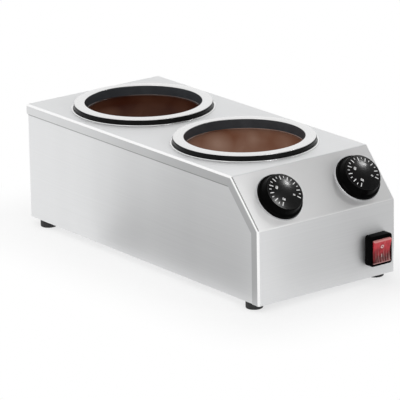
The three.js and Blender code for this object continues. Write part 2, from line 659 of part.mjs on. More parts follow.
// Heater band clamped round the well: a split ring with two ears and a terminal box
const BAND_HEIGHT = POT_DEPTH * BAND_HEIGHT_SHARE;
const BAND_BOTTOM = WELL_BOTTOM + BAND_RISE;
const BAND_MIDDLE = BAND_BOTTOM + BAND_HEIGHT / 2;
const EAR_TIP = BAND_OUTER + EAR_REACH;
const EAR_SCREW_RADIUS = BAND_OUTER + EAR_REACH / 2;
function heaterBand({ ears, terminal }) {
  const opening = BAND_GAP / 2 / BAND_INNER;
  const sweep = [opening, 2 * Math.PI - opening];
  const split = plate([
    ...arc(at(0, 0), BAND_OUTER, ...sweep, RING_SIDES),
    ...arc(at(0, 0), BAND_INNER, ...sweep.toReversed(), RING_SIDES),
  ], BAND_HEIGHT).rotateZ(ears);
  const wayHalf = BAND_GAP / 2 + EAR_THICKNESS + OVERRUN;
  const screwWay = rod(screwHole, -wayHalf, wayHalf, SCREW_SIDES)
    .rotateX(Math.PI / 2)
    .translate(EAR_SCREW_RADIUS, 0, BAND_HEIGHT / 2);
  const ear = (side) => block(
    [BAND_INNER + BAND_THICKNESS / 2, EAR_TIP],
    [side * BAND_GAP / 2, side * (BAND_GAP / 2 + EAR_THICKNESS)].sort((a, b) => a - b),
    [0, BAND_HEIGHT],
  );
  const pair = [ear(-1), ear(1)].map((lug) => cut(lug, screwWay).rotateZ(ears));
  const box = block(
    [BAND_INNER + BAND_THICKNESS / 2, BAND_OUTER + TERMINAL_SIZE.deep],
    [-TERMINAL_SIZE.wide / 2, TERMINAL_SIZE.wide / 2],
    [(BAND_HEIGHT - TERMINAL_SIZE.tall) / 2, (BAND_HEIGHT + TERMINAL_SIZE.tall) / 2],
  ).rotateZ(terminal);
  return joined(split, ...pair, box).translate(0, 0, BAND_BOTTOM);
}

const bandScrew = (ears) => screw({ length: BAND_GAP + 2 * EAR_THICKNESS + 2 * FIT + SCREW.shank })
  .translate(0, 0, BAND_GAP / 2 + EAR_THICKNESS + FIT)
  .rotateX(-Math.PI / 2)
  .translate(EAR_SCREW_RADIUS, 0, 0)
  .rotateZ(ears);

// Hat-shaped strap that carries a well on the base plate
function wellBracket() {
  const top = BRACKET_BOTTOM + BRACKET_HEIGHT - SHEET / 2;
  const bottom = BRACKET_BOTTOM + SHEET / 2;
  const legX = BRACKET_TOP_HALF + SHEET * 2;
  return alongY(strip(pairs(
    [-legX - BRACKET_FOOT, bottom],
    [-legX, bottom],
    [-BRACKET_TOP_HALF, top],
    [BRACKET_TOP_HALF, top],
    [legX, bottom],
    [legX + BRACKET_FOOT, bottom],
  ), SHEET), BRACKET_DEPTH);
}

// Where a sensor's bulb lies, on the wall of its well
const BULB_CENTRE = WELL_OUTER + FIT + BULB_RADIUS;
const BULB_LENGTH = POT_DEPTH * BULB_LENGTH_SHARE;
const BULB_TOP = BAND_BOTTOM + BAND_HEIGHT + BULB_ABOVE_BAND + BULB_LENGTH;
const bulbPlace = ({ y, bulb }) => new THREE.Vector3(
  BULB_CENTRE * Math.cos(bulb), y + BULB_CENTRE * Math.sin(bulb), BULB_TOP,
);

// Spring clip welded to the well that holds the bulb
function bulbClip({ bulb }) {
  const reach = BULB_RADIUS + FIT + CLIP_THICKNESS / 2;
  const wallX = WELL_OUTER + FIT + CLIP_THICKNESS / 2;
  const line = [
    at(wallX, -reach - CLIP_TAB),
    at(wallX, -reach),
    ...arc(at(BULB_CENTRE, 0), reach, -Math.PI / 2, Math.PI / 2, 2 * BEND_STEPS),
    at(wallX, reach),
    at(wallX, reach + CLIP_TAB),
  ];
  return plate(strip(line, CLIP_THICKNESS), CLIP_HEIGHT)
    .translate(0, 0, BULB_TOP - (BULB_LENGTH + CLIP_HEIGHT) / 2)
    .rotateZ(bulb);
}

// Dial ring, knob, shaft and thermostat in the frame of the sloping panel, axis along Z
const BEZEL_TOP = FIT + BEZEL_HEIGHT;
const BEZEL_RADIUS = KNOB_RADIUS + BEZEL_PROUD;
const dialBezel = () => ring(pairs(
  [BEZEL_RADIUS - BEZEL_WIDTH, FIT],
  [BEZEL_RADIUS, FIT],
  [BEZEL_RADIUS, FIT + BEZEL_HEIGHT / 2],
  [BEZEL_RADIUS - BEZEL_HEIGHT / 2, BEZEL_TOP],
  [BEZEL_RADIUS - BEZEL_WIDTH, BEZEL_TOP],
), KNOB_SIDES);

const KNOB_BOTTOM = BEZEL_TOP + FIT;
const KNOB_CEILING = KNOB_HEIGHT - KNOB_CROWN - KNOB_WALL;
const SHAFT_TOP = KNOB_CEILING - FIT;
const knob = () => turned(pairs(
  [0, KNOB_CEILING],
  [SHAFT_RADIUS + FIT, KNOB_CEILING],
  [SHAFT_RADIUS + FIT, KNOB_BOTTOM + KNOB_SKIRT],
  [KNOB_BOSS, KNOB_BOTTOM + KNOB_SKIRT],
  [KNOB_BOSS, KNOB_CEILING - KNOB_WALL],
  [KNOB_CAP_RADIUS - KNOB_WALL, KNOB_CEILING - KNOB_WALL],
  [KNOB_BODY_RADIUS - KNOB_WALL, KNOB_BOTTOM],
  [KNOB_RADIUS - KNOB_EDGE / 2, KNOB_BOTTOM],
  [KNOB_RADIUS, KNOB_BOTTOM + KNOB_EDGE],
  [KNOB_RADIUS - KNOB_EDGE, KNOB_BOTTOM + KNOB_SKIRT - KNOB_EDGE / 2],
  [KNOB_BODY_RADIUS, KNOB_BOTTOM + KNOB_SKIRT],
  [KNOB_CAP_RADIUS, KNOB_HEIGHT - KNOB_CROWN - KNOB_EDGE],
  [KNOB_CAP_RADIUS - KNOB_EDGE, KNOB_HEIGHT - KNOB_CROWN],
  [KNOB_CAP_RADIUS / 2, KNOB_HEIGHT - KNOB_CROWN / 4],
  [0, KNOB_HEIGHT],
), KNOB_SIDES);

function thermostatShaft() {
  const bottom = THERMOSTAT_FRONT - SHAFT_SEAT + FIT;
  const flat = SHAFT_RADIUS - SHAFT_FLAT;
  return cut(
    rod(SHAFT_RADIUS, bottom, SHAFT_TOP, SCREW_SIDES),
    block([flat, SHAFT_RADIUS + OVERRUN], [-SHAFT_RADIUS, SHAFT_RADIUS], [FIT, SHAFT_TOP + OVERRUN]),
  );
}

function thermostat() {
  const seat = THERMOSTAT_FRONT - THERMOSTAT_PLATE.thick;
  const body = joined(
    plate(centred(THERMOSTAT_PLATE.wide, THERMOSTAT_PLATE.tall), THERMOSTAT_PLATE.thick + FIT)
      .translate(0, 0, seat - FIT),
    plate(centred(THERMOSTAT.wide, THERMOSTAT.tall), THERMOSTAT.deep).translate(0, 0, THERMOSTAT_BACK),
  );
  const pocket = (radius, depth, x) => rod(
    radius, THERMOSTAT_FRONT - depth, THERMOSTAT_FRONT + OVERRUN, SCREW_SIDES,
  ).translate(x, 0, 0);
  return cut(
    body,
    pocket(SHAFT_RADIUS + FIT, SHAFT_SEAT, 0),
    pocket(screwHole, SCREW.length, -THERMOSTAT_SCREW_FROM_AXIS),
    pocket(screwHole, SCREW.length, THERMOSTAT_SCREW_FROM_AXIS),
  );
}

// A point in a dial's own frame as a point of the housing
const fromDial = (dialX, x, y, z) => new THREE.Vector3(x, y, z)
  .applyAxisAngle(new THREE.Vector3(1, 0, 0), SLOPE_ANGLE)
  .add(new THREE.Vector3(dialX, DIAL_Y, DIAL_Z));

// A lead that leaves a thermostat's back square to it: its first two points
const leadStart = (dialX, x, y) => [THERMOSTAT_BACK - FIT, THERMOSTAT_BACK - FIT - LEAD_OUT]
  .map((z) => fromDial(dialX, x, y, z));

const spot = (x, y, z) => new THREE.Vector3(x, y, z);

// Capillary from a thermostat to its bulb, which ends in a fatter sealed tube
const WALL_LANE_X = CASING_HALF_WIDTH - SHEET - WIRE_FROM_WALL;
const LANE_Z = BULB_TOP - BULB_LENGTH + CAPILLARY_RADIUS;
function thermostatSensor(dial, station) {
  const top = bulbPlace(station);
  const outward = spot(Math.cos(station.bulb), Math.sin(station.bulb), 0);
  const lane = dial.side === 'right' ? [
    spot(WALL_LANE_X, FRONT_POT_Y - WELL_RADIUS, LANE_Z),
    spot(WALL_LANE_X, FRONT_POT_Y, LANE_Z),
    spot(WALL_LANE_X, FRONT_POT_Y + WELL_RADIUS, LANE_Z),
  ] : [];
  const path = [
    ...leadStart(dial.x, 0, THERMOSTAT.tall / 4),
    ...lane,
    top.clone().addScaledVector(outward, LEAD_OUT).add(spot(0, 0, LEAD_OUT)),
    top.clone().add(spot(0, 0, LEAD_OUT / 2)),
    top.clone().add(spot(0, 0, -LEAD_OUT)),
  ];
  return joined(
    tube(path, CAPILLARY_RADIUS),
    rod(BULB_RADIUS, BULB_TOP - BULB_LENGTH, BULB_TOP, SCREW_SIDES).translate(top.x, top.y, 0),
  );
}

// Wires that stay inside the housing
function heaterWire(dial, station) {
  const reach = BAND_OUTER + TERMINAL_SIZE.deep + FIT;
  const outward = spot(Math.cos(station.terminal), Math.sin(station.terminal), 0);
  const terminal = spot(0, station.y, BAND_MIDDLE).addScaledVector(outward, reach);
  const approach = terminal.clone().addScaledVector(outward, WIRE_RADIUS * 2);
  const laneZ = BAND_BOTTOM;
  const lane = dial.side === 'right' ? [
    spot(WALL_LANE_X, FRONT_POT_Y - WELL_RADIUS, laneZ),
    spot(WALL_LANE_X, FRONT_POT_Y, laneZ),
    spot(WALL_LANE_X, FRONT_POT_Y + WELL_RADIUS, laneZ),
    spot(WALL_LANE_X, REAR_POT_Y - WELL_RADIUS / 2, laneZ),
  ] : [];
  const path = [
    ...leadStart(dial.x, THERMOSTAT.wide / 3, -THERMOSTAT.tall / 4), ...lane, approach, terminal,
  ];
  return tube(path, WIRE_RADIUS);
}

const BLOCK_Y = (FRONT_POT_Y + REAR_POT_Y) / 2;
const BLOCK_BOTTOM = PLATE_TOP + FIT;
const SWITCH_BACK_Y = SWITCH.behind - HALF_LENGTH;
function switchWire() {
  const laneZ = BLOCK_BOTTOM + BLOCK.tall / 2;
  const start = spot(BLOCK_X, BLOCK_Y - BLOCK.deep / 2 - FIT, laneZ);
  const end = spot(SWITCH_X, SWITCH_BACK_Y + FIT, SWITCH_Z);
  const path = [
    start,
    start.clone().add(spot(0, -LEAD_OUT, 0)),
    spot(-WALL_LANE_X, FRONT_POT_Y + WELL_RADIUS / 2, laneZ),
    spot(-WALL_LANE_X, FRONT_POT_Y - WELL_RADIUS / 2, laneZ),
    spot(-FOOT_X / 2, FRONT_POT_Y - BAND_OUTER - LEAD_OUT * 2, laneZ),
    spot(SWITCH_X / 2, FRONT_POT_Y - BAND_OUTER - LEAD_OUT * 2, laneZ),
    end.clone().add(spot(0, LEAD_OUT, 0)),
    end,
  ];
  return tube(path, WIRE_RADIUS);
}

// Terminal block for the mains leads, screwed to the base plate
function terminalBlock() {
  const body = plate(centred(BLOCK.wide, BLOCK.deep), BLOCK.tall);
  const pitch = BLOCK.wide / (BLOCK.ways + 1);
  const ways = Array.from({ length: BLOCK.ways }, (_, i) => (
    rod(BLOCK.bore, -BLOCK.deep, BLOCK.deep, SCREW_SIDES)
      .rotateX(Math.PI / 2)
      .translate((i + 1) * pitch - BLOCK.wide / 2, 0, BLOCK.tall * BLOCK_WAY_SHARE)
  ));
  return cut(body, ...ways.filter((_, i) => i !== (BLOCK.ways - 1) / 2), blockScrewWay());
}

const blockScrewWay = () => joined(
  rod(screwHole, -OVERRUN, BLOCK.tall + OVERRUN, SCREW_SIDES),
  rod(SCREW.head + FIT, BLOCK.tall / 2, BLOCK.tall + OVERRUN, SCREW_SIDES),
);

// Rocker switch: a frame that stands on the panel and a hollow body behind it
const SWITCH_FRONT = -SWITCH.reach;
function switchBody() {
  const frame = alongY(rounded(centred(SWITCH.wide, SWITCH.tall), SWITCH.corner), SWITCH.reach - FIT)
    .translate(0, (SWITCH_FRONT - FIT) / 2, 0);
  const length = SWITCH.behind + SWITCH.reach / 2;
  const behind = alongY(centred(SWITCH_BODY.wide, SWITCH_BODY.tall), length)
    .translate(0, SWITCH.behind - length / 2, 0);
  const depth = SWITCH_FLOOR - SWITCH_FRONT + OVERRUN;
  const pocket = alongY(centred(SWITCH_OPENING.wide, SWITCH_OPENING.tall), depth)
    .translate(0, SWITCH_FLOOR - depth / 2, 0);
  return cut(joined(frame, behind), pocket);
}

// Rocker about its own pivot: round ends, a dished face, its top half proud at rest
function switchRocker() {
  const radius = SWITCH_OPENING.tall / 2 - ROCKER_GAP;
  const faceY = -ROCKER_PIVOT_DEPTH - ROCKER_PROUD;
  const faceAngle = Math.PI - Math.acos(-faceY / radius);
  const backAngle = Math.acos(ROCKER_BACK / radius);
  const topEnd = arc(at(0, 0), radius, backAngle, faceAngle, BEND_STEPS + 1);
  const bottomEnd = topEnd.map(({ x, y }) => at(x, -y)).reverse();
  const dish = at(ROCKER_DISH - ROCKER_PIVOT_DEPTH, 0);
  return acrossX([...topEnd, dish, ...bottomEnd], SWITCH_OPENING.wide - 2 * ROCKER_GAP);
}

// Cord gland in the rear wall, in its own frame with the axis along Z pointing out of the wall
function cordGland() {
  const nose = GLAND.reach;
  const hex = plate(circle(GLAND.flange, HEX_SIDES), GLAND_FLANGE_THICKNESS).translate(0, 0, FIT);
  const body = turned(pairs(
    [0, -GLAND.inside],
    [GLAND.barrel, -GLAND.inside],
    [GLAND.barrel, FIT + GLAND_FLANGE_THICKNESS / 2],
    [GLAND.dome, FIT + GLAND_FLANGE_THICKNESS / 2],
    [GLAND.dome, nose - GLAND_NOSE_TAPER],
    [GLAND.nose, nose],
    [0, nose],
  ), GLAND_SIDES);
  return cut(joined(hex, body), rod(GLAND.bore, -GLAND.inside - OVERRUN, nose + OVERRUN, GLAND_SIDES));
}

const glandNut = () => plate(
  circle(GLAND_NUT_RADIUS, HEX_SIDES), GLAND_NUT_THICKNESS, [circle(GLAND.barrel + FIT, GLAND_SIDES)],
).translate(0, 0, -SHEET - FIT - GLAND_NUT_THICKNESS);

// Assembly
put(group, 'top_cover', topCover(), 'brushedSteel');
put(group, 'body_casing', bodyCasing(), 'brushedSteel');
put(group, 'base_plate', basePlate(), 'zinc');

for (const { name, x, y } of FEET) {
  put(group, `foot_${name}`, foot(), 'rubber', [x, y, 0]);
  const length = PLATE_TOP + SCREW.shank - FOOT_RECESS + FIT;
  const fastener = put(
    group, `foot_screw_${name}`, screw({ recessed: true, length }), 'zinc', [x, y, FOOT_RECESS - FIT],
  );
  fastener.rotation.x = Math.PI;
}
for (const { name, x, y } of BASE_SCREWS) {
  const fastener = put(
    group, `base_screw_${name}`, screw({ recessed: true }), 'zinc', [x, y, BODY_BOTTOM - FIT],
  );
  fastener.rotation.x = Math.PI;
}
for (const [side, sign] of [['left', -1], ['right', 1]]) {
  const fastener = put(
    group, `cover_screw_${side}`, screw({ recessed: true }), 'zinc',
    [sign * COVER_SCREW_X, HALF_LENGTH + FIT, COVER_SCREW_Z],
  );
  fastener.rotation.x = -Math.PI / 2;
}

for (const station of STATIONS) {
  const { end, y, ears } = station;
  const place = nest(group, [0, y, 0]);
  put(place, `well_${end}`, well(), 'aluminium');
  put(place, `heater_band_${end}`, heaterBand(station), 'mica');
  put(place, `band_screw_${end}`, bandScrew(ears), 'zinc', [0, 0, BAND_MIDDLE]);
  put(place, `well_bracket_${end}`, wellBracket(), 'zinc');
  put(place, `bulb_clip_${end}`, bulbClip(station), 'zinc');
  put(place, `rim_seal_${end}`, rimSeal(), 'rubber');
  put(place, `collar_${end}`, collar(), 'polishedSteel');
  put(place, `pot_${end}`, pot(), 'aluminium');
  put(place, `chocolate_${end}`, chocolate(), end === 'front' ? 'milkChocolate' : 'darkChocolate');
}

for (const [index, dial] of DIALS.entries()) {
  const { side, x } = dial;
  const panel = nest(group, [x, DIAL_Y, DIAL_Z], SLOPE_ANGLE);
  put(panel, `dial_bezel_${side}`, dialBezel(), 'polishedSteel');
  put(panel, `knob_${side}`, knob(), 'blackPlastic');
  put(panel, `thermostat_shaft_${side}`, thermostatShaft(), 'zinc');
  put(panel, `thermostat_${side}`, thermostat(), 'zinc');
  for (const [place, sign] of [['inner', -1], ['outer', 1]]) {
    const offset = sign * Math.sign(x) * THERMOSTAT_SCREW_FROM_AXIS;
    put(
      panel, `thermostat_screw_${side}_${place}`, screw({ length: SCREW.length - FIT }), 'zinc',
      [offset, 0, FIT],
    );
  }
  put(group, `thermostat_sensor_${side}`, thermostatSensor(dial, STATIONS[index]), 'zinc');
  put(group, `heater_wire_${side}`, heaterWire(dial, STATIONS[index]), 'wire');
}

const switchPlace = nest(group, [SWITCH_X, -HALF_LENGTH, SWITCH_Z]);
put(switchPlace, 'switch_body', switchBody(), 'blackPlastic');
const pivot = nest(switchPlace, [0, SWITCH_FRONT + ROCKER_PIVOT_DEPTH, 0], ROCKER_TILT);
put(pivot, 'switch_rocker', switchRocker(), 'redLens');
put(group, 'switch_wire', switchWire(), 'wire');

const glandPlace = nest(group, [GLAND_X, CASING_REAR, GLAND_Z], -Math.PI / 2);
put(glandPlace, 'cord_gland', cordGland(), 'blackPlastic');
put(glandPlace, 'gland_nut', glandNut(), 'blackPlastic');

const blockPlace = nest(group, [BLOCK_X, BLOCK_Y, BLOCK_BOTTOM]);
put(blockPlace, 'terminal_block', terminalBlock(), 'ceramic');
put(
  blockPlace, 'terminal_screw', screw({ length: (BLOCK.tall + FIT) / 2 }), 'zinc',
  [0, 0, BLOCK.tall / 2 + FIT],
);

export default group;
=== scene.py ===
"""Looks of a twin-pot chocolate melting machine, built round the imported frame.

Brushed steel housing, polished rims, melted chocolate, glossy dials and a red rocker. Shapes are in
millimetres; patterns, lamps and the floor are in metres.
"""

import json
import math

import bmesh
import bpy
from mathutils import Matrix, Vector

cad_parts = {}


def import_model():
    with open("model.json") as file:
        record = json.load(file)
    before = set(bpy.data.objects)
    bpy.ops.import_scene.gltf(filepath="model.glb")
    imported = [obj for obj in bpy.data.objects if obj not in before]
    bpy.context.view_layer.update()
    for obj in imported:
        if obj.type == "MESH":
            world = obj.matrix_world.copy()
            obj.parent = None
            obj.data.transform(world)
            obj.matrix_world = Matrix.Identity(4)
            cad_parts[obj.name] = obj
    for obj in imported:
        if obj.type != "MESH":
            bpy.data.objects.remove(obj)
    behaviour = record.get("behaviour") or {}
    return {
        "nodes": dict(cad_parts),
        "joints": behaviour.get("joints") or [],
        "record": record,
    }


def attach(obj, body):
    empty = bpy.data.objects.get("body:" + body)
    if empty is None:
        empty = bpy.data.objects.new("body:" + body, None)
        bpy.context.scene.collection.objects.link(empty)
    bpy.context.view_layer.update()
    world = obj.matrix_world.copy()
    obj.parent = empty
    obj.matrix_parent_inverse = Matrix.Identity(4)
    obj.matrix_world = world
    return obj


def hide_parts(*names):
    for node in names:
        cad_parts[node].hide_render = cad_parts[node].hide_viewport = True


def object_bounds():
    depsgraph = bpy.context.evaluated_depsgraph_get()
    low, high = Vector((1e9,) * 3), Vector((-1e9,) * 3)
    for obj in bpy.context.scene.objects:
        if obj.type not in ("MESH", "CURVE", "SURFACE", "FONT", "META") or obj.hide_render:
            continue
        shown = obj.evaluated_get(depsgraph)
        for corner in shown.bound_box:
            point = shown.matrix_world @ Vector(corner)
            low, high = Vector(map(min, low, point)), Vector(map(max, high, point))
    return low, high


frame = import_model()
cad_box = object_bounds()

MM = 0.001
FIT = 0.3

# Camera, from a fit of the housing's corners in the photograph
IMAGE_SIDE = 400
FOCAL_PIXELS = 3572.24
OPTICAL_CENTRE = (206.09, 188.85)
CAMERA_AZIMUTH = math.radians(-37.28)
CAMERA_ELEVATION = math.radians(16.94)
CAMERA_ROLL = math.radians(-0.98)
CAMERA_DISTANCE = 4.212
CAMERA_TARGET = Vector((0, 0, 0.075))
SENSOR_WIDTH = 36

# Pots, their chocolate and the rings round them
POT_WALL = 1.5
AIR_GAP = 1.2
POT_CORNER = 8
RIM_EDGE = 0.9
RIM_CROWN = 0.5
CROWN_SHARES = (0, 0.1, 0.2, 0.3, 0.4, 0.5, 0.6, 0.7, 0.8)
LINED_EDGE_SPANS = 3  # last spans of the rim that are dark like the lining
MENISCUS = 0.8
MENISCUS_CURVE = ((1 / 3, 0.45), (1, 0.12))
MENISCUS_SPANS = 4  # first spans from the pot's wall that are glossy
SURFACE_SHARES = (0.98, 0.96, 0.93, 0.9, 0.84, 0.76, 0.68, 0.6, 0.5, 0.4, 0.3, 0.2, 0.1)
RIPPLE = 0.12
CALM_EDGE = 0.02  # share of the radius without ripples
SEAL_FILLET = 1.1
COLLAR_SHARE = 0.6
RING_SIDES = 160

# Dials
DIAL_SIDES = 128
KNOB_BODY_RADIUS = 25
KNOB_CAP_RADIUS = 23.4
KNOB_WALL = 2
KNOB_SKIRT = 3
KNOB_SKIRT_EDGE = 0.9
KNOB_SKIRT_SLOPE = (0.5, 0.6)
KNOB_CROWN = 1.8
KNOB_FILLET = 1.4
KNOB_FLARE = 3.2
CAP_RINGS = (20, 17, 14, 11, 8, 5, 2.5)
GLOSSY_FILLET_SPANS = 4  # spans of the fillet that are glossy like the cap
BEZEL_WIDTH = 4.5
TICKS = 19
TICK_STEP = math.radians(15)
SCALE_START = math.radians(233)
TICK_OUTER = 20
TICK_INNER = {"long": 15.2, "short": 17.4}
TICK_WIDTH = {"long": 0.95, "short": 0.8}
TICK_STEPS = 4
MARK_RAISED = 0.06
NUMBERS = {0: "90", 6: "60", 12: "30", 18: "0"}
NUMBER_RADIUS = 11
NUMBER_SIZE = 4.1
NUMBER_WEIGHT = 0.025

# Rocker switch
OPENING_SIDE_FRAME = 2.3
OPENING_END_FRAME = 3.4
SWITCH_CORNER = 3
SWITCH_FILLET = 1.3
SWITCH_FILLET_STEPS = 5
SWITCH_WALL = 0.9
SWITCH_FLOOR = 1
ROCKER_GAP = 0.4
ROCKER_PROUD = 2.2
ROCKER_PIVOT_DEPTH = 2
ROCKER_DISH = 0.5
ROCKER_DISH_POWER = 1.5
ROCKER_DISH_STEPS = 12
ROCKER_BACK = 7
ROCKER_TILT = math.radians(5)
OPENING_DROP = 0.8
RING_MARK = {"middle": 5.6, "radius": 2.1, "width": 0.8, "sides": 40}
BAR_MARK = {"middle": -5.4, "half": 1.9, "width": 0.6}

# Feet, screws and gland
FOOT_FILLET = 1.3
FOOT_POCKET_DEPTH = 3.6
FOOT_CHAMFER = 0.4
FOOT_SIDES = 64
SCREW_HEAD = 3.6
SCREW_HEAD_HEIGHT = 2
SCREW_SHANK = 1.9
SCREW_TIP = 0.4
SCREW_CHAMFER = 0.2
SCREW_SIDE_SHARE = 0.35
SCREW_DOME = 1.3
SCREW_SIDES = 40
SCREW_RECESS = {"reach": 2.2, "width": 0.8, "depth": 1.1, "floor_share": 0.55}
GLAND = {"bore": 4.3, "barrel": 8, "flange": 11.5, "dome": 9.6, "nose": 7, "inside": 12}
GLAND_FLANGE = 5
GLAND_TAPER = 5
GLAND_NOSE_FILLET = 1
GLAND_RIBS = {"count": 5, "start": 0.6, "pitch": 1.2, "groove": 0.4, "step": 0.3}
GLAND_SIDES = 64

# Rounded edges of the rocker and of the gland's flange
EDGE_ROUNDING = {"width": 0.5, "segments": 3, "angle": 40}


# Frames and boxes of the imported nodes, in millimetres


def upright(middle):
    """The place on the ground under a point."""
    return Matrix.Translation((middle.x, middle.y, 0))


def node_box(node, place=None):
    """Lowest and highest corner of a node in the frame that place gives."""
    inverse = (place or Matrix.Identity(4)).inverted()
    points = [inverse @ (vertex.co / MM) for vertex in frame["nodes"][node].data.vertices]
    low = Vector(min(point[axis] for point in points) for axis in range(3))
    high = Vector(max(point[axis] for point in points) for axis in range(3))
    return low, high


def joint(name):
    return next(entry for entry in frame["joints"] if entry["name"] == name)


def dial_place(side):
    """The dial's own frame: origin on the panel, Z out of it along the knob's axis."""
    entry = joint(f"{side}_knob_turn")
    outward = -Vector(entry["axis"])
    across = Vector((1, 0, 0))
    place = Matrix((across, outward.cross(across), outward)).transposed().to_4x4()
    place.translation = Vector(entry["pos_m"]) / MM
    return place


# Shapes: vertices, faces and the finish index of each face


def arc(centre, radius, start, end, steps=8):
    """Points of an arc between two angles in degrees."""
    angles = [math.radians(start + (end - start) * i / steps) for i in range(steps + 1)]
    return [(centre[0] + radius * math.cos(a), centre[1] + radius * math.sin(a)) for a in angles]


def turned(profile, sides=RING_SIDES, looped=False, second=()):
    """A profile of radius and height turned about Z; second lists spans of the second finish."""
    vertices, rings = [], []
    for radius, height in profile:
        first = len(vertices)
        count = sides if radius > 0 else 1
        for k in range(count):
            angle = 2 * math.pi * k / sides
            vertices.append((radius * math.cos(angle), radius * math.sin(angle), height))
        rings.append([first + (k if count > 1 else 0) for k in range(sides)])
    spans = list(zip(rings, rings[1:] + rings[:1]))
    if not looped:
        spans.pop()
    faces, finishes = [], []
    for index, (lower, upper) in enumerate(spans):
        for k in range(sides):
            after = (k + 1) % sides
            corners = list(dict.fromkeys([lower[k], lower[after], upper[after], upper[k]]))
            if len(corners) > 2:
                faces.append(corners)
                finishes.append(int(index in second))
    return vertices, faces, finishes


def rounded_rectangle(width, height, corner, steps=6):
    """Outline of a rectangle with rounded corners, anticlockwise."""
    outline = []
    for turn, (sx, sy) in enumerate([(1, 1), (-1, 1), (-1, -1), (1, -1)]):
        centre = (sx * (width / 2 - corner), sy * (height / 2 - corner))
        outline += arc(centre, corner, 90 * turn, 90 * (turn + 1), steps)
    return outline


def loft_faces(count, sections=2, looped=False):
    """Faces round sections of count corners each, with closed ends unless they form a loop."""
    last = count * sections - 1
    faces = [] if looped else [list(range(count)), [last - k for k in range(count)]]
    for section in range(sections if looped else sections - 1):
        base, following = section * count, (section + 1) % sections * count
        for k in range(count):
            after = (k + 1) % count
            faces.append([base + k, base + after, following + after, following + k])
    return faces


def plain(vertices, faces):
    """A shape with one finish."""
    return vertices, faces, [0] * len(faces)


def lofted(sections):
    """A closed body through sections, each an outline in X and Z with its Y."""
    vertices = [(x, y, z) for outline, y in sections for x, z in outline]
    return plain(vertices, loft_faces(len(sections[0][0]), len(sections)))


def merged(*shapes):
    vertices, faces, finishes = [], [], []
    for some_vertices, some_faces, some_finishes in shapes:
        first = len(vertices)
        vertices += some_vertices
        faces += [[first + k for k in face] for face in some_faces]
        finishes += some_finishes
    return vertices, faces, finishes


def mesh_of(name, shape, sharp=32):
    """A mesh in metres, with its faces turned outward and smooth up to the sharp angle."""
    vertices, faces, finishes = shape
    mesh = bpy.data.meshes.new(name)
    mesh.from_pydata([Vector(vertex) * MM for vertex in vertices], [], faces)
    mesh.polygons.foreach_set("material_index", finishes)
    work = bmesh.new()
    work.from_mesh(mesh)
    bmesh.ops.recalc_face_normals(work, faces=work.faces)
    work.to_mesh(mesh)
    work.free()
    mesh.shade_smooth()
    mesh.set_sharp_from_angle(angle=math.radians(sharp))
    return mesh


def piece(name, shape, finishes, body, replaces=(), place=None, sharp=32):
    """One piece of the object, in its place, riding on its body."""
    mesh = shape if isinstance(shape, bpy.types.Mesh) else mesh_of(name, shape, sharp)
    made = bpy.data.objects.new(name, mesh)
    bpy.context.scene.collection.objects.link(made)
    for finish in finishes:
        mesh.materials.append(finish)
    if place is not None:
        made.matrix_world = Matrix.LocRotScale(
            place.translation * MM, place.to_quaternion(), Vector((1, 1, 1))
        )
    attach(made, body)
    if replaces:
        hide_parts(*replaces)
    return made


def rounded_edges(made):
    bevel = made.modifiers.new("rounded_edges", "BEVEL")
    bevel.width = EDGE_ROUNDING["width"] * MM
    bevel.segments = EDGE_ROUNDING["segments"]
    bevel.limit_method = "ANGLE"
    bevel.angle_limit = math.radians(EDGE_ROUNDING["angle"])
    bevel.harden_normals = False


def carved(name, shape, cutter_shape, sharp=32):
    """The mesh of a shape with another cut out of it."""
    body = bpy.data.objects.new(name, mesh_of(name, shape, sharp))
    cutter = bpy.data.objects.new(f"{name}_cutter", mesh_of(f"{name}_cutter", cutter_shape))
    for made in (body, cutter):
        bpy.context.scene.collection.objects.link(made)
    cut = body.modifiers.new("cut", "BOOLEAN")
    cut.object = cutter
    cut.solver = "EXACT"
    graph = bpy.context.evaluated_depsgraph_get()
    mesh = bpy.data.meshes.new_from_object(body.evaluated_get(graph))
    mesh.name = name
    mesh.materials.clear()
    mesh.shade_smooth()
    mesh.set_sharp_from_angle(angle=math.radians(sharp))
    bpy.data.objects.remove(body)
    bpy.data.objects.remove(cutter)
    return mesh


# Materials


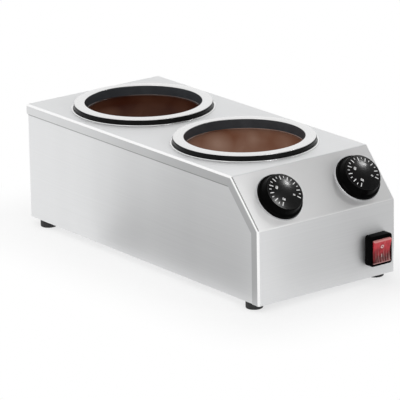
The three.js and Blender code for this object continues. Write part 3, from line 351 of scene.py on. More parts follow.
class Graph:
    """A material's node tree, with its surface shader at hand."""

    def __init__(self, name, **surface):
        self.material = bpy.data.materials.new(name)
        self.material.use_nodes = True
        self.tree = self.material.node_tree
        self.surface = self.tree.nodes["Principled BSDF"]
        for socket, value in surface.items():
            self.surface.inputs[socket.replace("_", " ")].default_value = value

    def node(self, kind, inputs=None, **settings):
        made = self.tree.nodes.new(kind)
        for name, value in settings.items():
            setattr(made, name, value)
        for socket, value in (inputs or {}).items():
            if isinstance(value, bpy.types.NodeSocket):
                self.tree.links.new(value, made.inputs[socket])
            else:
                made.inputs[socket].default_value = value
        return made

    def place(self):
        return self.node("ShaderNodeTexCoord").outputs["Object"]

    def scaled(self, vector, scale):
        return self.node("ShaderNodeMapping", {"Vector": vector, "Scale": scale}).outputs["Vector"]

    def noise(self, vector, scale, detail=3, roughness=0.55, distortion=0):
        inputs = {
            "Vector": vector, "Scale": scale, "Detail": detail,
            "Roughness": roughness, "Distortion": distortion,
        }
        return self.node("ShaderNodeTexNoise", inputs).outputs["Fac"]

    def spread(self, value, low, high, start=0.3, end=0.7):
        """The value between start and end, carried to low and high."""
        inputs = {"Value": value, "From Min": start, "From Max": end, "To Min": low, "To Max": high}
        return self.node("ShaderNodeMapRange", inputs).outputs["Result"]

    def blend(self, factor, low, high):
        mix = self.node("ShaderNodeMix", {"Factor": factor}, data_type="RGBA")
        for socket, value in ((mix.inputs[6], low), (mix.inputs[7], high)):
            if isinstance(value, bpy.types.NodeSocket):
                self.tree.links.new(value, socket)
            else:
                socket.default_value = (*value, 1)
        return mix.outputs[2]

    def calc(self, first, second, operation="ADD"):
        return self.node("ShaderNodeMath", {0: first, 1: second}, operation=operation).outputs[0]

    def between(self, value, low, high):
        """1 where the value lies between the two limits, else 0."""
        above, below = self.calc(value, low, "GREATER_THAN"), self.calc(value, high, "LESS_THAN")
        return self.calc(above, below, "MULTIPLY")

    def parts(self, vector):
        """The X, Y and Z of a vector."""
        return self.node("ShaderNodeSeparateXYZ", {0: vector}).outputs

    def length(self, vector):
        inputs = {0: vector}
        return self.node("ShaderNodeVectorMath", inputs, operation="LENGTH").outputs["Value"]

    def relief(self, height, depth, strength=1):
        inputs = {"Height": height, "Distance": depth * MM, "Strength": strength}
        self.feed("Normal", self.node("ShaderNodeBump", inputs).outputs["Normal"])

    def feed(self, socket, value):
        self.tree.links.new(value, self.surface.inputs[socket])


def patterned(name, low, high, roughness, scale, depth=0.0, fine=None, **surface):
    """Colour between low and high in soft patches, roughness between two values, fine relief."""
    graph = Graph(name, **surface)
    place = graph.place()
    patches = graph.noise(place, scale)
    graph.feed("Base Color", graph.blend(graph.spread(patches, 0, 1), low, high))
    grain = graph.noise(place, fine or scale * 6, detail=4)
    graph.feed("Roughness", graph.spread(grain, *roughness))
    if depth:
        graph.relief(grain, depth)
    return graph.material


# Brushed sheet: the grain's scales per metre, limits of the normal's parts, heights in millimetres
GRAIN_ALONG = 5
GRAIN_ACROSS = 900
BANDS_ALONG = 14
SIDEWAYS_FROM = 0.7
BEND_LIMITS = (0.1, 0.98)
SLOPE_LIMITS = (0.1, 0.75)
# Lighter base colour painted on the bends as a highlight, and on the sloping panel as a lighter
# tone
PAINTED_HIGHLIGHT_TONE = (0.95, 0.95, 0.95)
BEND_ROUGHNESS = 0.3
# Painted shadow line on the casing just under the cover's folded edge: the fold's bottom height and
# the line's width
FOLD_BOTTOM = 138
SHADOW_LINE_WIDTH = 1.5


def brushed(name, low, high, roughness, depth, painted_side_shades=(1, 1), shadow_line_share=1):
    """Sheet brushed level all round: the grain runs along Y on the sides and along X elsewhere.

    Light spreads across the grain. The side shares paint shade on the faces that look sideways,
    at the front and at the rear, and the shadow-line share paints a shadow on the line just under
    the cover's folded edge. The bends beside the sides are smoother and carry a painted highlight
    in a lighter base colour, and the sloping panel is painted in the same lighter tone.
    """
    graph = Graph(name, Metallic=1, Anisotropic=0.6)
    place = graph.place()
    normal = graph.node("ShaderNodeNewGeometry").outputs["True Normal"]
    facing = graph.calc(graph.parts(normal)["X"], 0, "ABSOLUTE")
    sideways = graph.calc(facing, SIDEWAYS_FROM, "GREATER_THAN")
    bend = graph.between(facing, *BEND_LIMITS)
    slope = graph.between(graph.parts(normal)["Z"], *SLOPE_LIMITS)
    direction = {"X": graph.calc(1, sideways, "SUBTRACT"), "Y": sideways}
    along = graph.node("ShaderNodeCombineXYZ", direction).outputs[0]
    across = graph.node("ShaderNodeVectorMath", {0: normal, 1: along}, operation="CROSS_PRODUCT")
    graph.feed("Tangent", across.outputs["Vector"])

    def grain(scale_along, scale_across, detail):
        along_x = graph.scaled(place, (scale_along, scale_across, scale_across))
        along_y = graph.scaled(place, (scale_across, scale_along, scale_across))
        mix = graph.node("ShaderNodeMix", {"Factor": sideways}, data_type="VECTOR")
        graph.tree.links.new(along_x, mix.inputs[4])
        graph.tree.links.new(along_y, mix.inputs[5])
        return graph.noise(mix.outputs[1], 1, detail)

    streaks = grain(GRAIN_ALONG, GRAIN_ACROSS, 4)
    bands = grain(BANDS_ALONG, 0, 1)
    tone = graph.calc(graph.spread(streaks, 0, 0.5), graph.spread(bands, 0, 0.5))
    colour = graph.blend(tone, low, high)
    split = graph.parts(place)
    # painted shade on the sideways faces, graded from the front to the rear
    painted_side_shade = graph.spread(split["Y"], *painted_side_shades, cad_box[0][1], cad_box[1][1])
    at_side = graph.calc(graph.calc(painted_side_shade, 1, "SUBTRACT"), sideways, "MULTIPLY")
    # painted shadow along the line just under the cover's folded edge
    shadow_line = graph.between(split["Z"], (FOLD_BOTTOM - SHADOW_LINE_WIDTH) * MM, FOLD_BOTTOM * MM)
    at_shadow_line = graph.spread(shadow_line, 1, shadow_line_share, 0, 1)
    darker = graph.calc(graph.calc(at_side, 1), at_shadow_line, "MULTIPLY")
    shaded = graph.node("ShaderNodeHueSaturation", {"Value": darker, "Color": colour})
    # painted highlight on the bends and painted lighter tone on the sloping panel
    lightened = graph.calc(bend, slope, "MAXIMUM")
    graph.feed("Base Color", graph.blend(lightened, shaded.outputs["Color"], PAINTED_HIGHLIGHT_TONE))
    satin = graph.spread(streaks, *roughness)
    polish = graph.spread(bend, 1, BEND_ROUGHNESS, 0, 1)
    graph.feed("Roughness", graph.calc(satin, polish, "MULTIPLY"))
    graph.relief(streaks, depth)
    return graph.material


def spun(name, low, high, roughness, scale, depth, **surface):
    """Metal with fine rings round the piece's own axis."""
    graph = Graph(name, **surface)
    split = graph.parts(graph.place())
    flat = graph.node("ShaderNodeCombineXYZ", {"X": split["X"], "Y": split["Y"]}).outputs[0]
    radius = graph.length(flat)
    rings = graph.node("ShaderNodeCombineXYZ", {"X": radius, "Y": split["Z"]}).outputs[0]
    lines = graph.noise(rings, scale, detail=4)
    graph.feed("Base Color", graph.blend(graph.spread(lines, 0, 1), low, high))
    graph.feed("Roughness", graph.spread(lines, *roughness))
    graph.relief(lines, depth)
    return graph.material


# Melted chocolate: swirls drawn out across their turn
SWIRL = {"turn": math.radians(-37.28), "stretch": (1, 3.2, 1), "scale": 26, "tone": (0.3, 0.75)}
PAINTED_SHEEN_EDGE = (0.2, 1.2)
SURFACE_WAVES = {"scale": 60, "depth": 0.12, "strength": 0.4}


def melted(name, dark, light, roughness, painted_sheen, gloss=0.001):
    """Melted chocolate: soft swirls, and lighter patches of painted sheen, each with its place and
    half sizes.
    """
    graph = Graph(name, Specular_IOR_Level=gloss)
    place = graph.place()
    turn = (0, 0, SWIRL["turn"])

    def turned_in(**inputs):
        inputs = {"Vector": place, "Rotation": turn, **inputs}
        return graph.node("ShaderNodeMapping", inputs, vector_type="TEXTURE").outputs["Vector"]

    drawn = turned_in(Scale=SWIRL["stretch"])
    swirls = graph.noise(drawn, SWIRL["scale"], detail=1.5, distortion=0.3)
    tone = graph.spread(swirls, 0, 0.5, *SWIRL["tone"])
    # lighter patches of painted sheen
    for x, y, half_width, half_length, strength in painted_sheen:
        spot = turned_in(Location=(x, y, 0), Scale=(half_width, half_length, 1))
        inputs = {0: spot, 1: (1, 1, 0)}
        flat = graph.node("ShaderNodeVectorMath", inputs, operation="MULTIPLY").outputs["Vector"]
        tone = graph.calc(tone, graph.spread(graph.length(flat), strength, 0, *PAINTED_SHEEN_EDGE))
    graph.feed("Base Color", graph.blend(tone, dark, light))
    graph.feed("Roughness", graph.spread(swirls, *roughness))
    waves = graph.noise(place, SURFACE_WAVES["scale"], detail=1)
    graph.relief(waves, SURFACE_WAVES["depth"], SURFACE_WAVES["strength"])
    return graph.material


# Red moulding: heights from its middle in metres, scales per metre
LENS_REACH = 0.009
LENS_CLOUD = {"scale": 160, "share": 0.25}
LENS_RIBS = {"scale": (520, 12, 12), "range": (0.5, 0.68), "depth": 0.03}
# Pale painted reflection streaks, strong low on the moulding and faint high up, and painted
# highlight lines along both ends
LENS_PAINTED_STREAKS = {"low": 0.6, "high": 0.12, "range": (0.1, 0.6)}
LENS_PAINTED_EDGES = {"painted_shine": 0.6, "range": (0.0122, 0.013)}


def lens(name, dark, bright, pale):
    """Clear red moulding with fine ribs: a painted lit tone towards its raised end, painted shade
    towards the other, pale painted reflection streaks over the lower part, and painted highlight
    lines along both ends.
    """
    graph = Graph(
        name, Roughness=0.2, Specular_IOR_Level=0.2, Coat_Weight=0.12, Coat_Roughness=0.06,
    )
    place = graph.place()
    height = graph.parts(place)["Z"]
    rise = graph.spread(height, 0, 1, -LENS_REACH, LENS_REACH)
    noise = graph.noise(place, LENS_CLOUD["scale"], detail=1)
    cloud = graph.spread(noise, -LENS_CLOUD["share"], LENS_CLOUD["share"])
    # painted light and shade: lighter towards the top, darker towards the bottom, with random
    # clouds
    depth = graph.node("ShaderNodeClamp", {0: graph.calc(rise, cloud)}).outputs[0]
    ribs = graph.noise(graph.scaled(place, LENS_RIBS["scale"]), 1, detail=1)
    painted_streaks = graph.spread(ribs, 0, 1, *LENS_RIBS["range"])
    lower = graph.spread(rise, LENS_PAINTED_STREAKS["low"], LENS_PAINTED_STREAKS["high"], *LENS_PAINTED_STREAKS["range"])
    from_middle = graph.calc(height, 0, "ABSOLUTE")
    ends = graph.spread(from_middle, 0, LENS_PAINTED_EDGES["painted_shine"], *LENS_PAINTED_EDGES["range"])
    # painted reflection streaks over the lower part and painted highlight lines along both ends,
    # mixed towards the pale colour
    painted_shine = graph.calc(graph.calc(painted_streaks, lower, "MULTIPLY"), ends, "MAXIMUM")
    graph.feed("Base Color", graph.blend(painted_shine, graph.blend(depth, dark, bright), pale))
    graph.relief(ribs, LENS_RIBS["depth"])
    return graph.material


# Finishes: the lower and higher colour, the roughness, then the pattern's scale and relief
SHEET = ((0.8, 0.805, 0.81), (0.87, 0.875, 0.88), (0.5, 0.56), 0.004)
BLACK = ((0.001, 0.001, 0.001), (0.002, 0.002, 0.002))
MILK = ((0.135, 0.05, 0.026), (0.31, 0.2, 0.15))
# Patches of painted sheen on each chocolate: place, half sizes and strength
MILK_PAINTED_SHEEN = [(-0.018, 0.027, 0.016, 0.05, 0.62), (0.0245, 0.015, 0.008, 0.036, 0.22)]
PLAIN = ((0.031, 0.0075, 0.0035), (0.1, 0.045, 0.026))
PLAIN_PAINTED_SHEEN = [(-0.034, 0.02, 0.014, 0.025, 0.5)]
FINISHES = {
    # brushed sheet with a painted shadow line at the height just under the cover's folded edge
    "brushed_steel": brushed("brushed_steel", *SHEET, shadow_line_share=0.42),
    "polished_steel": spun(
        "polished_steel", (0.84, 0.84, 0.85), (0.9, 0.9, 0.91), (0.1, 0.18), 2600, 0.002,
        Metallic=1,
    ),
    "pot_metal": spun(
        "pot_metal", (0.72, 0.72, 0.72), (0.8, 0.8, 0.8), (0.16, 0.24), 2200, 0.002, Metallic=1,
    ),
    "well_aluminium": spun(
        "well_aluminium", (0.68, 0.69, 0.7), (0.8, 0.81, 0.82), (0.3, 0.45), 1500, 0.01, Metallic=1,
    ),
    "zinc_plate": patterned(
        "zinc_plate", (0.5, 0.52, 0.55), (0.64, 0.66, 0.68), (0.35, 0.5), 90, 0.01, 700, Metallic=1,
    ),
    "zinc_fastener": patterned(
        "zinc_fastener", (0.52, 0.54, 0.57), (0.66, 0.68, 0.7), (0.25, 0.4), 400, 0.006, 2400,
        Metallic=1,
    ),
    "rubber": patterned(
        "rubber", (0.012, 0.012, 0.012), (0.024, 0.024, 0.024), (0.6, 0.8), 300, 0.02, 2600,
    ),
    "black_seal": patterned(
        "black_seal", (0.004, 0.004, 0.004), (0.007, 0.007, 0.007), (0.22, 0.32), 120, 0.004, 1800,
        Specular_IOR_Level=0.08,
    ),
    "black_plastic": patterned(
        "black_plastic", *BLACK, (0.2, 0.26), 160, 0.002, 1400, Specular_IOR_Level=0.015,
    ),
    "red_lens": lens("red_lens", (0.07, 0.004, 0.005), (0.58, 0.045, 0.06), (0.75, 0.42, 0.4)),
    "milk_chocolate": melted("milk_chocolate", *MILK, (0.2, 0.3), MILK_PAINTED_SHEEN),
    "dark_chocolate": melted("dark_chocolate", *PLAIN, (0.2, 0.3), PLAIN_PAINTED_SHEEN),
    "mica_band": patterned(
        "mica_band", (0.3, 0.24, 0.16), (0.44, 0.36, 0.25), (0.5, 0.7), 120, 0.03, 900,
    ),
    "copper_sensor": patterned(
        "copper_sensor", (0.62, 0.33, 0.2), (0.78, 0.45, 0.3), (0.25, 0.4), 200, 0.004, 1600,
        Metallic=1,
    ),
    "wire_sleeve": patterned(
        "wire_sleeve", (0.28, 0.03, 0.02), (0.4, 0.05, 0.035), (0.45, 0.6), 200, 0.01, 1500,
    ),
    "gland_plastic": patterned(
        "gland_plastic", (0.014, 0.014, 0.015), (0.026, 0.026, 0.027), (0.42, 0.56), 250, 0.012,
        1800,
    ),
    "terminal_ceramic": patterned(
        "terminal_ceramic", (0.72, 0.7, 0.64), (0.82, 0.8, 0.75), (0.25, 0.4), 180, 0.01, 900,
    ),
}
MENISCUS_GLOSS = {
    "milk_chocolate": melted("milk_edge", *MILK, (0.1, 0.16), [], 0.8),
    "dark_chocolate": melted("dark_edge", *PLAIN, (0.1, 0.16), [], 0.8),
}
LINING = patterned(
    "pot_lining", (0.035, 0.038, 0.043), (0.048, 0.052, 0.058), (0.4, 0.55), 60, 0.01, 1500,
    Specular_IOR_Level=0.25,
)
# The cover's sheet, with painted shade on its sideways faces, darker towards the front
COVER_STEEL = brushed("cover_steel", *SHEET, painted_side_shades=(0.735, 0.93))
CAP_GLOSS = patterned(
    "cap_gloss", *BLACK, (0.3, 0.34), 160, 0.0, 1400,
    Specular_IOR_Level=0.15, Coat_Weight=1.0, Coat_Roughness=0.155, Coat_IOR=1.6,
)
RING_STEEL = spun(
    "ring_steel", (0.5, 0.5, 0.51), (0.62, 0.62, 0.63), (0.2, 0.3), 2600, 0.002, Metallic=1,
)
PRINT = patterned("white_print", (0.72, 0.72, 0.72), (0.84, 0.84, 0.84), (0.35, 0.5), 500)
SWITCH_PRINT = patterned("rocker_print", (0.75, 0.6, 0.58), (0.88, 0.75, 0.72), (0.35, 0.5), 500)


# Pots, chocolate and the rings round them


def pot(end):
    low, high = node_box(f"pot_{end}")
    middle = (low + high) / 2
    rim_radius = (high.x - low.x) / 2
    chocolate_low, chocolate_high = node_box(f"chocolate_{end}")
    radius = (chocolate_high.x - chocolate_low.x) / 2 + FIT
    outer = radius + POT_WALL
    outer_corner = POT_CORNER + POT_WALL
    floor = low.z + POT_WALL
    lip = high.z - RIM_CROWN - RIM_EDGE
    edge = (rim_radius - RIM_EDGE / 2, lip + RIM_EDGE / 2)
    across = rim_radius - radius
    crown = [
        (rim_radius - RIM_EDGE / 2 - across * share, high.z - RIM_CROWN * (1 - 2 * share) ** 2)
        for share in CROWN_SHARES
    ]
    inner_edge = arc((radius + RIM_EDGE, crown[-1][1] - RIM_EDGE), RIM_EDGE, 90, 180)
    outside = [
        (0, low.z),
        *arc((outer - outer_corner, low.z + outer_corner), outer_corner, -90, 0),
        (outer, lip - RIM_EDGE),
        (outer + RIM_EDGE / 2, lip),
        *arc(edge, RIM_EDGE / 2, -90, 90),
        *crown[1:],
        *inner_edge,
    ]
    inside = [*arc((radius - POT_CORNER, floor + POT_CORNER), POT_CORNER, 0, -90), (0, floor)]
    profile = outside + inside
    lined = range(len(outside) - LINED_EDGE_SPANS, len(profile))
    piece(
        f"pot_shell_{end}", turned(profile, second=lined), [FINISHES["pot_metal"], LINING],
        f"{end}_pot", [f"pot_{end}"], upright(middle),
    )


def swell(x, y):
    """Height of two crossed waves, each between -1 and 1."""
    return math.sin(x / 9 + 1.3 * math.sin(y / 17)) + math.sin(y / 11 - x / 23 + 0.7)


def chocolate(end, slot):
    low, high = node_box(f"chocolate_{end}")
    middle = (low + high) / 2
    radius = (high.x - low.x) / 2
    level = high.z - MENISCUS
    side = [(0, low.z), *arc((radius - POT_CORNER, low.z + POT_CORNER), POT_CORNER, -90, 0)]
    edge = [
        (radius - MENISCUS * inward, level + MENISCUS * rise) for inward, rise in MENISCUS_CURVE
    ]
    rings = [radius * share for share in SURFACE_SHARES]
    surface = [(ring, level + MENISCUS * math.exp(-(radius - ring) / MENISCUS)) for ring in rings]
    profile = [*side, (radius, high.z), *edge, *surface, (0, level)]
    glossy = range(len(side), len(side) + MENISCUS_SPANS)
    vertices, faces, finishes = turned(profile, second=glossy)
    rippled = []
    for x, y, z in vertices:
        share = 1 - math.hypot(x, y) / radius
        on_top = z > level - RIPPLE and share > CALM_EDGE
        rippled.append((x, y, z + (RIPPLE * share * swell(x, y) if on_top else 0)))
    piece(
        f"melted_chocolate_{end}", (rippled, faces, finishes),
        [FINISHES[slot], MENISCUS_GLOSS[slot]], f"{end}_pot", [f"chocolate_{end}"],
        upright(middle), sharp=60,
    )


def seal(end):
    low, high = node_box(f"rim_seal_{end}")
    middle = (low + high) / 2
    well_low, well_high = node_box(f"well_{end}")
    radius = (high.x - low.x) / 2
    flange = (well_high.x - well_low.x) / 2 + FIT
    step = well_high.z + FIT
    chocolate_low, chocolate_high = node_box(f"chocolate_{end}")
    bore = (chocolate_high.x - chocolate_low.x) / 2 + FIT + POT_WALL + AIR_GAP
    profile = [
        (bore, step),
        (flange, step),
        (flange, low.z),
        (radius - FIT, low.z),
        (radius, low.z + FIT),
        *arc((radius - SEAL_FILLET, high.z - SEAL_FILLET), SEAL_FILLET, 0, 90),
        (bore, high.z),
    ]
    piece(
        f"black_ring_{end}", turned(profile, looped=True), [FINISHES["black_seal"]], "housing",
        [f"rim_seal_{end}"], upright(middle),
    )
    collar_low, collar_high = node_box(f"collar_{end}")
    outer = (collar_high.x - collar_low.x) / 2
    half = (outer - radius - FIT) / 2
    half_round = arc((outer - half, collar_low.z), half, 0, 180, 16)
    bead = [(x, collar_low.z + (z - collar_low.z) * COLLAR_SHARE) for x, z in half_round]
    piece(
        f"bright_ring_{end}", turned(bead, looped=True), [FINISHES["pot_metal"]], "housing",
        [f"collar_{end}"], upright(middle),
    )


# Dials


def dome(radius, top):
    """Height of the knob's domed cap at a distance from its axis."""
    return top - KNOB_CROWN * (radius / KNOB_CAP_RADIUS) ** 2


def knob(side):
    place = dial_place(side)
    low, high = node_box(f"knob_{side}", place)
    radius = high.x
    skirt_top = low.z + KNOB_SKIRT
    cap_edge = KNOB_CAP_RADIUS - KNOB_FILLET
    edge_top = dome(cap_edge, high.z)
    underside = high.z - KNOB_CROWN - KNOB_WALL
    cap = [(ring, dome(ring, high.z)) for ring in CAP_RINGS]
    skirt_edge = (radius - KNOB_SKIRT_EDGE, low.z + KNOB_SKIRT_EDGE)
    profile = [
        (0, underside),
        (KNOB_CAP_RADIUS - KNOB_WALL, underside),
        (KNOB_BODY_RADIUS - KNOB_WALL, low.z),
        (radius - FIT, low.z),
        *arc(skirt_edge, KNOB_SKIRT_EDGE, 0, 40, 3),
        (radius - KNOB_SKIRT_SLOPE[0], skirt_top - KNOB_SKIRT_SLOPE[1]),
        *arc((KNOB_BODY_RADIUS + KNOB_FLARE, skirt_top + KNOB_FLARE), KNOB_FLARE, 262, 186),
        *arc((cap_edge, edge_top - KNOB_FILLET), KNOB_FILLET, 5, 90),
        *cap,
        (0, high.z),
    ]
    capped = range(len(profile) - len(cap) - GLOSSY_FILLET_SPANS, len(profile))
    piece(
        f"dial_knob_{side}", turned(profile, DIAL_SIDES, second=capped),
        [FINISHES["black_plastic"], CAP_GLOSS], f"{side}_knob", [f"knob_{side}"],
        place,
    )
    piece(f"dial_scale_{side}", dial_scale(high.z), [PRINT], f"{side}_knob", (), place)


def on_dome(x, y, top, raised):
    return (x, y, dome(math.hypot(x, y), top) + raised)


def tick(angle, inner, width, top):
    """A thin printed bar that follows the dome, from its inner end to the end of the scale."""
    vertices = []
    for i in range(TICK_STEPS + 1):
        radius = inner + (TICK_OUTER - inner) * i / TICK_STEPS
        for side, raised in ((-1, -FIT), (1, -FIT), (1, MARK_RAISED), (-1, MARK_RAISED)):
            x = radius * math.cos(angle) - side * width / 2 * math.sin(angle)
            y = radius * math.sin(angle) + side * width / 2 * math.cos(angle)
            vertices.append(on_dome(x, y, top, raised))
    return plain(vertices, loft_faces(4, TICK_STEPS + 1))


def number(text, angle, top):
    """Raised figures with their feet towards the axis."""
    curve = bpy.data.curves.new(f"number_{text}", "FONT")
    curve.body = text
    curve.size = NUMBER_SIZE
    curve.extrude = (MARK_RAISED + FIT) / 2
    curve.align_x = "CENTER"
    curve.align_y = "CENTER"
    curve.resolution_u = 3
    curve.offset = NUMBER_SIZE * NUMBER_WEIGHT
    lettering = bpy.data.objects.new(curve.name, curve)
    mesh = bpy.data.meshes.new_from_object(lettering)
    vertices = []
    for vertex in mesh.vertices:
        outward, around = NUMBER_RADIUS + vertex.co.y, vertex.co.x
        x = outward * math.cos(angle) + around * math.sin(angle)
        y = outward * math.sin(angle) - around * math.cos(angle)
        vertices.append(on_dome(x, y, top, MARK_RAISED if vertex.co.z > 0 else -FIT))
    faces = [list(polygon.vertices) for polygon in mesh.polygons]
    bpy.data.objects.remove(lettering)
    return plain(vertices, faces)


def dial_scale(top):
    shapes = []
    for index in range(TICKS):
        angle = SCALE_START - index * TICK_STEP
        kind = "short" if index % 2 else "long"
        shapes.append(tick(angle, TICK_INNER[kind], TICK_WIDTH[kind], top))
        if index in NUMBERS:
            shapes.append(number(NUMBERS[index], angle, top))
    return merged(*shapes)


def bezel(side):
    place = dial_place(side)
    low, high = node_box(f"dial_bezel_{side}", place)
    radius = high.x
    fillet = (high.z - low.z) / 2
    profile = [
        (radius - BEZEL_WIDTH, low.z),
        (radius, low.z),
        *arc((radius - fillet, high.z - fillet), fillet, 0, 90),
        (radius - BEZEL_WIDTH, high.z),
    ]
    piece(
        f"dial_ring_{side}", turned(profile, DIAL_SIDES, looped=True), [RING_STEEL], "housing",
        [f"dial_bezel_{side}"], place,
    )


# Rocker switch


def switch():
    place = Matrix.Translation(Vector(joint("rocker_press")["pos_m"]) / MM)
    low, high = node_box("switch_body", place)
    panel = node_box("top_cover", place)[0].y - FIT
    wide, tall = high.x - low.x, high.z - low.z
    opening = (wide - 2 * OPENING_SIDE_FRAME, tall - 2 * OPENING_END_FRAME)
    inner = (opening[0] + 2 * SWITCH_WALL, opening[1] + 2 * SWITCH_WALL)
    floor = panel + FIT + SWITCH_FLOOR

    def opened(width, height, corner):
        return [(x, z - OPENING_DROP) for x, z in rounded_rectangle(width, height, corner)]

    sections = [
        (opened(*inner, SWITCH_CORNER / 3), high.y),
        (opened(*inner, SWITCH_CORNER / 3), panel),
        (rounded_rectangle(wide, tall, SWITCH_CORNER), panel),
    ]
    for i in range(SWITCH_FILLET_STEPS + 1):
        angle = math.pi / 2 * i / SWITCH_FILLET_STEPS
        drawn_in = SWITCH_FILLET * (1 - math.cos(angle))
        depth = low.y + SWITCH_FILLET * (1 - math.sin(angle))
        size = (wide - 2 * drawn_in, tall - 2 * drawn_in)
        sections.append((rounded_rectangle(*size, SWITCH_CORNER - drawn_in / 2), depth))
    lip = SWITCH_FILLET / 3
    for widened, depth in ((lip, low.y), (lip / 3, low.y + lip / 3), (0, low.y + lip)):
        outline = opened(opening[0] + 2 * widened, opening[1] + 2 * widened, SWITCH_CORNER / 4)
        sections.append((outline, depth))
    sections.append((opened(*opening, SWITCH_CORNER / 4), floor))
    piece(
        "switch_housing", lofted(sections), [FINISHES["black_plastic"]], "housing",
        ["switch_body"], place, sharp=40,
    )
    rocker(place @ Matrix.Translation((0, 0, -OPENING_DROP)), opening)


def rocker(place, opening):
    radius = opening[1] / 2 - ROCKER_GAP
    half = opening[0] / 2 - ROCKER_GAP
    face = -ROCKER_PIVOT_DEPTH - ROCKER_PROUD
    face_angle = math.degrees(math.acos(face / radius))
    back_angle = math.degrees(math.acos(ROCKER_BACK / radius))
    dish = ROCKER_DISH - ROCKER_PIVOT_DEPTH
    reach = radius * math.sin(math.radians(face_angle))

    def face_depth(z):
        return face + (dish - face) * (1 - min(1, abs(z) / reach) ** ROCKER_DISH_POWER)

    heights = [reach * (1 - 2 * i / ROCKER_DISH_STEPS) for i in range(1, ROCKER_DISH_STEPS)]
    hollow = [(face_depth(z), z) for z in heights]
    top_end = arc((0, 0), radius, back_angle, face_angle, 10)
    bottom_end = [(y, -z) for y, z in reversed(top_end)]
    outline = [*top_end, *hollow, *bottom_end]
    vertices = [(x, y, z) for x in (-half, half) for y, z in outline]
    tilted = place @ Matrix.Rotation(ROCKER_TILT, 4, "X")
    made = piece(
        "rocker_lens", plain(vertices, loft_faces(len(outline))), [FINISHES["red_lens"]], "rocker",
        ["switch_rocker"], tilted, sharp=40,
    )
    rounded_edges(made)
    piece("rocker_marks", rocker_marks(face_depth), [SWITCH_PRINT], "rocker", (), tilted)


def rocker_marks(face_depth):
    """A raised ring on the rocker's upper half and a bar on its lower half."""
    vertices = []
    inside, outside = RING_MARK["radius"] - RING_MARK["width"], RING_MARK["radius"]
    section = [(outside, -MARK_RAISED), (inside, -MARK_RAISED), (inside, FIT), (outside, FIT)]
    for k in range(RING_MARK["sides"]):
        angle = 2 * math.pi * k / RING_MARK["sides"]
        for radius, raised in section:
            x, z = radius * math.cos(angle), RING_MARK["middle"] + radius * math.sin(angle)
            vertices.append((x, face_depth(z) + raised, z))
    ring = plain(vertices, loft_faces(4, RING_MARK["sides"], looped=True))
    half = BAR_MARK["width"] / 2
    section = [(-half, -MARK_RAISED), (half, -MARK_RAISED), (half, FIT), (-half, FIT)]
    heights = [BAR_MARK["middle"] + BAR_MARK["half"] * share for share in (-1, -0.5, 0, 0.5, 1)]
    vertices = [(x, face_depth(z) + raised, z) for z in heights for x, raised in section]
    return merged(ring, plain(vertices, loft_faces(4, len(heights))))


# Feet, screws and cord gland


def foot(corner):
    low, high = node_box(f"foot_{corner}")
    middle = (low + high) / 2
    radius = (high.y - low.y) / 2
    pocket = SCREW_HEAD + FIT
    bore = SCREW_SHANK + FIT
    profile = [
        (bore, FOOT_POCKET_DEPTH),
        (pocket, FOOT_POCKET_DEPTH),
        (pocket, FOOT_CHAMFER),
        (pocket + FOOT_CHAMFER, 0),
        *arc((radius - FOOT_FILLET, FOOT_FILLET), FOOT_FILLET, -90, 0),
        *arc((radius - FOOT_FILLET / 2, high.z - FOOT_FILLET / 2), FOOT_FILLET / 2, 0, 90, 4),
        (bore, high.z),
    ]
    piece(
        f"rubber_foot_{corner}", turned(profile, FOOT_SIDES, looped=True), [FINISHES["rubber"]],
        "housing", [f"foot_{corner}"], upright(middle),
    )


def screw_mesh(name, length):
    """A domed screw with a cross recess; the underside of its head is at zero."""
    profile = [
        (0, -length),
        (SCREW_SHANK - SCREW_TIP, -length),
        (SCREW_SHANK, SCREW_TIP - length),
        (SCREW_SHANK, 0),
        (SCREW_HEAD - SCREW_CHAMFER, 0),
        (SCREW_HEAD, SCREW_CHAMFER),
        (SCREW_HEAD, SCREW_HEAD_HEIGHT * SCREW_SIDE_SHARE),
        *arc((SCREW_HEAD - SCREW_DOME, SCREW_HEAD_HEIGHT - SCREW_DOME), SCREW_DOME, 5, 90),
        (0, SCREW_HEAD_HEIGHT),
    ]
    reach, half = SCREW_RECESS["reach"], SCREW_RECESS["width"] / 2
    floor, top = SCREW_HEAD_HEIGHT - SCREW_RECESS["depth"], SCREW_HEAD_HEIGHT + 1
    quarter = [(reach, half), (half, half), (half, reach)]
    outline = [*quarter, *[(-x, y) for x, y in reversed(quarter)]]
    outline += [(-x, -y) for x, y in outline]
    share = SCREW_RECESS["floor_share"]
    vertices = [(x * share, y * share, floor) for x, y in outline]
    vertices += [(x, y, top) for x, y in outline]
    recess = plain(vertices, loft_faces(len(outline)))
    return carved(name, turned(profile, SCREW_SIDES), recess)


def screws():
    downward = Matrix.Rotation(math.pi, 4, "X")
    rearward = Matrix.Rotation(-math.pi / 2, 4, "X")
    for name in sorted(frame["nodes"]):
        if not name.startswith(("foot_screw", "base_screw", "cover_screw")):
            continue
        turn = rearward if name.startswith("cover") else downward
        low, high = node_box(name, turn)
        head = high.z - SCREW_HEAD_HEIGHT
        place = turn @ Matrix.Translation(((low.x + high.x) / 2, (low.y + high.y) / 2, head))
        mesh = screw_mesh(f"cross_{name}", head - low.z)
        piece(
            f"cross_{name}", mesh, [FINISHES["zinc_fastener"]], "housing", [name],
            place,
        )


